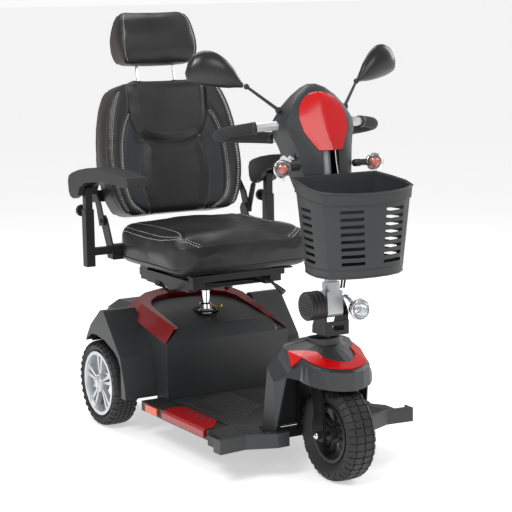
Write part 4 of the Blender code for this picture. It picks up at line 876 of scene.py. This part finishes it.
for side, word in SIDES:
    tyre("rear_tyre_tread_" + word, REAR_TYRE, (side * 0.256 - side * 0.0031, REAR_AXLE_Y, WHEEL_Z),
         "rear_wheel_" + word, "rear_tyre_" + word, LUGS, 34)
    cap = spin(((0, 0.006), (0.010, 0.0055), (0.018, 0.003), (0.021, 0), (0.021, -0.004), (0, -0.004)), 36, "x")
    cap.transform(Matrix.Diagonal((side, 1, 1, 1)))
    rim_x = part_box("rear_rim_" + word)[1 if side > 0 else 0].x
    cap.transform(Matrix.Translation((rim_x, REAR_AXLE_Y, WHEEL_Z)))
    mesh_piece("hub_cap_" + word, cap, "rim_silver", "rear_wheel_" + word)
    bolts = bmesh.new()
    for k in range(5):
        a = 2 * math.pi * (k + 0.5) / 5
        nut = spin(((0.0, 0.004), (0.003, 0.004), (0.0036, 0.0), (0.0, 0.0)), 6, "x")
        join(bolts, nut, Matrix.Translation((0, 0.014 * math.cos(a), 0.014 * math.sin(a))))
    bolts.transform(Matrix.Diagonal((side, 1, 1, 1)))
    bolts.transform(Matrix.Translation((rim_x + side * 0.003, REAR_AXLE_Y, WHEEL_Z)))
    mesh_piece("hub_bolts_" + word, bolts, "chrome", "rear_wheel_" + word, smooth=False)

# ---------------------------------------------------------------- handlebar grips, mirrors
BAR = ((0, -0.346, 0.924), (0.090, -0.344, 0.925), (0.158, -0.324, 0.921), (0.207, -0.305, 0.914),
       (0.2285, -0.285, 0.908), (0.2330, -0.266, 0.903), (0.2230, -0.249, 0.898), (0.192, -0.243, 0.894),
       (0.135, -0.258, 0.891), (0.088, -0.296, 0.889))
for side, word in SIDES:
    path = curve_points([(side * x, y + SHIFT, z) for x, y, z in BAR], 10)[20:]
    count = len(path)

    def swell(t, count=count):
        edge = min(t, 1 - t) * count
        return 0.0150 - 0.0030 * max(0.0, 1 - edge / 1.5) ** 2

    grip = tube(path, swell, 22)
    mesh_piece("grip_foam_" + word, grip, "foam", "tiller", stands_for=("grip_" + word,))
    for n, at_t in enumerate((0.02, 0.98)):
        i = int(at_t * (count - 1))
        ring = tube([path[max(i - 1, 0)], path[i], path[min(i + 1, count - 1)]], 0.0154, 22)
        mesh_piece(f"grip_ring_{n}_{word}", ring, "moulded_black", "tiller")

MIRROR = ((0.000, 0.0060, 0.000, 0.0070), (0.012, 0.0120, 0.003, 0.0110), (0.035, 0.0260, 0.010, 0.0170),
          (0.065, 0.0380, 0.016, 0.0230), (0.095, 0.0440, 0.018, 0.0250), (0.124, 0.0425, 0.015, 0.0230),
          (0.144, 0.0340, 0.009, 0.0170), (0.154, 0.0200, 0.004, 0.0090))
for side, word in SIDES:
    ball = Vector((side * 0.1685, -0.2980 + SHIFT, 1.0250))
    lean = Matrix.Translation(ball) @ Matrix.Rotation(math.radians(15) * side, 4, "Z") \
        @ Matrix.Diagonal((side, 1, 1, 1)) @ Matrix.Rotation(math.radians(-17), 4, "Y") \
        @ Matrix.Translation((0.0095, 0, 0))
    rings = []
    face_rings = []
    steps = 28
    for i in range(steps + 1):
        s = 0.154 * i / steps
        high, rise, deep = (along([(row[0], row[k]) for row in MIRROR], s) for k in (1, 2, 3))
        end = 1 - max(0.0, (s - 0.146) / 0.008) ** 2 * 0.35
        high *= end
        ring = []
        for k in range(19):
            a = math.pi * k / 18
            ring.append(lean @ Vector((s, -deep * math.sin(a) + 0.004, rise + high * math.cos(a))))
        for v in (-0.93, -0.86, 0.86, 0.93):
            ring.append(lean @ Vector((s, 0.0062 if abs(v) > 0.9 else 0.0035, rise + high * v)))
        rings.append(ring)
        if 0.010 < s < 0.149:
            face_rings.append([lean @ Vector((s, 0.0042 + d, rise + high * v))
                               for d, v in ((0, -0.84), (0, 0.84), (-0.0015, 0.84), (-0.0015, -0.84))])
    home = "mirror_" + word
    shell = mesh_piece("mirror_shell_" + word, lofted(rings), "mirror_shell", home, stands_for=(home,))
    split = shell.modifiers.new("split", "EDGE_SPLIT")
    split.split_angle = math.radians(40)
    mesh_piece("mirror_glass_" + word, lofted(face_rings), "glass_mirror", home, smooth=False)

# ---------------------------------------------------------------- lamps
for side, word in SIDES:
    reach_x = 0.143 if side > 0 else 0.138
    lamp = Vector((side * reach_x, -0.413 + SHIFT, 0.822))
    face = Matrix.Translation(lamp) @ Matrix.Rotation(math.radians(90), 4, "X")
    home = "indicator_" + word

    def stalk(x_in, x_out, radius):
        return tube([Vector((side * x, -0.408 + SHIFT, 0.822)) for x in (x_in, x_out)], radius, 20)

    arm = stalk(0.0840, reach_x - 0.014, 0.0085)
    for x in (0.088, 0.094, 0.100):
        join(arm, stalk(x, x + 0.0025, 0.0098))
    mesh_piece("indicator_stalk_" + word, arm, "moulded_black", "tiller", stands_for=(home,))
    cup = spin(((0, -0.0165), (0.012, -0.016), (0.0195, -0.009), (0.0232, 0), (0.0238, 0.006), (0.0222, 0.006),
                (0.0210, 0), (0.0170, -0.007), (0.010, -0.012), (0, -0.013)), 36)
    cup.transform(face)
    mesh_piece("indicator_cup_" + word, cup, "chrome", "tiller")
    dome = spin(((0.0225, 0.0045), (0.0228, 0.011), (0.0200, 0.0185), (0.0130, 0.0240), (0.0060, 0.0262),
                 (0, 0.0267), (0, 0.0250), (0.0060, 0.0245), (0.0120, 0.0225), (0.0185, 0.0172), (0.0210, 0.0110),
                 (0.0208, 0.0045), (0.0225, 0.0045)), 36)
    dome.transform(face)
    bmesh.ops.remove_doubles(dome, verts=dome.verts, dist=1e-6)
    mesh_piece("indicator_lens_" + word, dome, "clear_lens", "tiller")
    bulb = spin(((0, -0.010), (0.0095, -0.0095), (0.0100, -0.002), (0.0125, 0.006), (0.0118, 0.013),
                 (0.0070, 0.018), (0, 0.0195)), 10)
    bulb.transform(face)
    mesh_piece("indicator_bulb_" + word, bulb, "orange_bulb", "tiller")

LAMP = Vector((0.050, -0.470 + SHIFT, 0.452))
lamp_face = Matrix.Translation(LAMP) @ Matrix.Rotation(math.radians(90), 4, "X")
glow = spin(((0, -0.011), (0.0040, -0.010), (0.0042, -0.001), (0.0062, 0.004), (0.0050, 0.009),
             (0, 0.011)), 20)
glow.transform(lamp_face)
mesh_piece("headlamp_bulb", glow, "clear_lens", "tiller")
bezel = spin(((0.0262, 0.0120), (0.0285, 0.0130), (0.0285, 0.0180), (0.0262, 0.0195), (0.0252, 0.0182),
              (0.0262, 0.0120)), 44)
bezel.transform(lamp_face)
bmesh.ops.remove_doubles(bezel, verts=bezel.verts, dist=1e-6)
mesh_piece("headlamp_bezel", bezel, "chrome", "tiller")
horn_ribs = bmesh.new()
for x in (-0.0805, -0.0700, -0.0560, -0.0460):
    ring = spin(((0.0362, -0.0012), (0.0378, -0.0008), (0.0378, 0.0008), (0.0362, 0.0012), (0.0350, 0),
                 (0.0362, -0.0012)), 36, "x")
    bmesh.ops.remove_doubles(ring, verts=ring.verts, dist=1e-6)
    join(horn_ribs, ring, Matrix.Translation((x, -0.434 + SHIFT, 0.466)))
for k in range(-3, 4):
    z = k * 0.0072
    wide = math.sqrt(max(0.031 ** 2 - z * z, 0)) * 0.9
    join(horn_ribs, block((-0.0856, -wide, z - 0.0014), (-0.0835, wide, z + 0.0014), 0.0005),
         Matrix.Translation((0, -0.434 + SHIFT, 0.466)))
mesh_piece("horn_ribs", horn_ribs, "moulded_black", "tiller")

# Keys that hang from the switch
keys = bmesh.new()
ring_path = [Vector((-0.1150, -0.385 + SHIFT + 0.010 * math.cos(a), 0.829 + 0.010 * math.sin(a)))
             for a in np.linspace(0, 2 * math.pi, 25)[:-1]]
join(keys, tube(ring_path, 0.0009, 8, closed=True))
join(keys, block((-0.1165, -0.393 + SHIFT, 0.806), (-0.1145, -0.379 + SHIFT, 0.822), 0.0007))
join(keys, block((-0.1162, -0.3885 + SHIFT, 0.785), (-0.1148, -0.3825 + SHIFT, 0.807), 0.0004))
mesh_piece("spare_key", keys, "chrome", "key")

# ---------------------------------------------------------------- body details
body_tree = tree_of(NODES["rear_body"])
post_y = 0.255 + SHIFT
spot = drop(body_tree, 0.05, post_y, 0.395)
ring_z = spot.z if spot else 0.345
collar = bmesh.new()
laid = []
for a in np.linspace(0, 2 * math.pi, 41)[:-1]:
    p = Vector((0.0325 * math.cos(a), post_y + 0.0325 * math.sin(a), 0))
    hit = drop(body_tree, p.x * 1.12, post_y + (p.y - post_y) * 1.12, 0.395)
    laid.append(Vector((p.x, p.y, (hit.z if hit else ring_z) + 0.0012)))
join(collar, tube(laid, 0.0032, 10, closed=True))
mesh_piece("post_hole_rim", collar, "moulded_black", "chassis")
pin = tube([Vector((0.014, post_y - 0.012, 0.352)), Vector((0.030, post_y - 0.030, 0.352))], 0.0035, 14)
join(pin, tube([Vector((0.030, post_y - 0.030, 0.352)), Vector((0.036, post_y - 0.036, 0.352))], 0.0065, 14))
mesh_piece("post_pin", pin, "zinc_pin", "chassis")
clamp = spin(((0.0155, 0), (0.0225, 0.0005), (0.0235, 0.004), (0.0235, 0.015), (0.0215, 0.019),
              (0.0155, 0.0195), (0.0155, 0)), 40)
bmesh.ops.remove_doubles(clamp, verts=clamp.verts, dist=1e-6)
clamp.transform(Matrix.Translation((0, post_y, 0.3215)))
mesh_piece("post_clamp", clamp, "chrome", "chassis")
for n, (x, y) in enumerate(((-0.040, 0.440), (0.153, 0.384))):
    spot = drop(body_tree, x, y + SHIFT, 0.40)
    z = spot.z if spot else 0.36
    knob = spin(((0.0, 0.0), (0.010, 0.0), (0.011, 0.002), (0.006, 0.004), (0.0050, 0.012), (0.0, 0.012)), 24)
    join(knob, block((-0.018, -0.005, 0.011), (0.018, 0.005, 0.020), 0.0035, 3))
    knob.transform(Matrix.Translation((x, y + SHIFT, z - 0.0005)) @ Matrix.Rotation(0.5, 4, "Z"))
    mesh_piece(f"deck_knob_{n}", knob, "moulded_black", "chassis")

# Studs in the red inserts
for side, word in SIDES:
    studs = bmesh.new()
    for y in (-0.042, -0.080, -0.115, -0.150):
        stud = spin(((0, 0.0030), (0.0045, 0.0028), (0.0062, 0.0012), (0.0066, -0.0010), (0, -0.0010)), 20)
        join(studs, stud, Matrix.Translation((side * 0.2215, y + SHIFT, 0.1236)))
    mesh_piece("insert_studs_" + word, studs, "moulded_black", "chassis")

# Raised ribs of the mat: fans that spread from the middle towards the sides and the front
mat_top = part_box("floor_mat")[1].z
ribs = bmesh.new()
for side in (1, -1):
    for k in range(13):
        t = k / 12
        start = Vector((side * 0.012, 0.100 - 0.185 * t, 0))
        end = Vector((side * (0.186 - 0.012 * t), 0.060 - 0.230 * t, 0))
        steps = 14
        path = []
        for s in range(steps + 1):
            u = s / steps
            p = start.lerp(end, u)
            p.y += 0.010 * math.sin(u * math.pi * 2.0) - 0.012 * math.sin(u * math.pi)
            path.append(Vector((p.x, p.y + SHIFT, mat_top + 0.0002)))
        join(ribs, tube(path, 0.0013, 6))
    for k in range(6):
        t = k / 5
        y = -0.245 - 0.016 * k
        left, right = 0.165 + 0.004 * k, 0.236 + 0.006 * k
        path = []
        for s in range(7):
            x = left + (right - left) * s / 6
            path.append(Vector((side * x, y + SHIFT + 0.004 * math.sin(s), mat_top + 0.0002)))
        join(ribs, tube(path, 0.0013, 6))
mesh_piece("mat_ribs", ribs, "mat_rubber", "chassis")

# Beads of the basket: a rolled rim and two lines low down
LOW = ((0.099, -0.460), (0.112, -0.500), (0.120, -0.545), (0.111, -0.586), (0.084, -0.608), (0.045, -0.621),
       (0, -0.625))
HIGH = ((0.122, -0.450), (0.136, -0.500), (0.143, -0.552), (0.133, -0.594), (0.102, -0.615), (0.055, -0.629),
        (0, -0.634))
BEADS = (("rim", 1.0, 0.0040, 0.0026), ("skirt", 0.865, 0.0032, 0.0012), ("line", 0.10, 0.0001, 0.0012),
         ("foot", 0.015, -0.0006, 0.0022))
for name, t, grow, radius in BEADS:
    half = []
    for (x0, y0), (x1, y1) in zip(LOW, HIGH):
        x, y = x0 + (x1 - x0) * t, y0 + (y1 - y0) * t
        reach_out = math.hypot(x, y + 0.535)
        x, y = x * (1 + grow / reach_out), -0.535 + (y + 0.535) * (1 + grow / reach_out)
        z = 0.560 + (0.772 + (y + 0.634) * 0.152 - 0.560) * t
        half.append((x, y + SHIFT, z))
    loop = half + [(-x, y, z) for x, y, z in half[-2::-1]]
    bead = curve_points(loop, 1)
    if name == "rim":
        bead = bead + curve_points([loop[-1], (0, loop[0][1] + 0.002, loop[0][2]), loop[0]], 2)[1:-1]
    cord = tube(bead, radius, 8, closed=name == "rim")
    mesh_piece("basket_" + name, cord, "charcoal_basket", "basket")

# Bolts on the tiller and the fork
bolts = bmesh.new()
for x, y, z, r in ((-0.0185, -0.4335, 0.626, 0.0045), (0.0185, -0.4335, 0.626, 0.0045)):
    nut = spin(((0.0, 0.004), (r, 0.004), (r * 1.1, 0.0), (0.0, 0.0)), 6, "x")
    nut.transform(Matrix.Diagonal((1 if x > 0 else -1, 1, 1, 1)))
    join(bolts, nut, Matrix.Translation((x, y + SHIFT, z)))
mesh_piece("column_bolts", bolts, "coated_steel", "tiller", smooth=False)
nuts = bmesh.new()
for side in (1, -1):
    nut = spin(((0, 0.010), (0.0035, 0.0095), (0.0050, 0.006), (0.0085, 0.0055), (0.0095, 0), (0, 0)), 18, "x")
    nut.transform(Matrix.Diagonal((side, 1, 1, 1)))
    join(nuts, nut, Matrix.Translation((side * 0.0655, FRONT_AXLE_Y, WHEEL_Z)))
mesh_piece("axle_nuts", nuts, "chrome", "fork")

# ---------------------------------------------------------------- floor, light and camera
plane = bmesh.new()
bmesh.ops.create_grid(plane, x_segments=1, y_segments=1, size=150)
floor = mesh_piece("studio_floor", plane, "thread", None, smooth=False)
floor.data.materials.clear()
pale = bpy.data.materials.new("studio_pale")
pale.use_nodes = True
for socket, value in (("Base Color", (0.90, 0.90, 0.90, 1)), ("Roughness", 0.65), ("Specular IOR Level", 0.2),
                      ("Emission Color", (1, 1, 1, 1)), ("Emission Strength", 0.50)):
    pale.node_tree.nodes["Principled BSDF"].inputs[socket].default_value = value
floor.data.materials.append(pale)
floor.location.z = -0.0005
world = bpy.data.worlds.new("studio")
bpy.context.scene.world = world
world.use_nodes = True
world.node_tree.nodes["Background"].inputs[0].default_value = (1.0, 1.0, 1.0, 1)
ray = world.node_tree.nodes.new("ShaderNodeLightPath")
bright = world.node_tree.nodes.new("ShaderNodeMapRange")
bright.inputs["To Min"].default_value = 0.44
bright.inputs["To Max"].default_value = 0.97
world.node_tree.links.new(ray.outputs["Is Camera Ray"], bright.inputs["Value"])
world.node_tree.links.new(bright.outputs["Result"], world.node_tree.nodes["Background"].inputs[1])


def lamp(name, at, aim, size, power):
    light = bpy.data.lights.new(name, "AREA")
    light.shape = "RECTANGLE"
    light.size, light.size_y = size
    light.energy = power
    obj = bpy.data.objects.new(name, light)
    bpy.context.scene.collection.objects.link(obj)
    obj.location = at
    obj.rotation_mode = "QUATERNION"
    obj.rotation_quaternion = (Vector(aim) - Vector(at)).to_track_quat("-Z", "Y")
    return obj


lamp("key", (-2.2, -1.7, 2.8), (0, 0, 0.5), (1.1, 1.1), 62)
lamp("front", (0.6, -3.2, 2.4), (0, -0.1, 0.5), (1.8, 1.2), 20)
lamp("side", (2.8, 0.2, 1.9), (0, 0, 0.5), (1.2, 1.8), 30)
lamp("top", (0.0, 0.9, 3.2), (0, 0.1, 0.4), (2.0, 1.4), 34)

view = bpy.data.cameras.new("view")
camera = bpy.data.objects.new("view", view)
bpy.context.scene.collection.objects.link(camera)
right = Vector((0.8611, -0.5081, -0.0165))
up = Vector((0.0947, 0.1285, 0.9872))
back = right.cross(up).normalized()
turned = Matrix((right, up, back)).transposed().to_4x4()
turned.translation = Vector((-2.2891, -3.9274, 1.2662))
camera.matrix_world = turned
view.sensor_width = 36
view.lens = 116.003
view.clip_end = 400
bpy.context.scene.camera = camera
bpy.context.scene.view_settings.view_transform = "Standard"
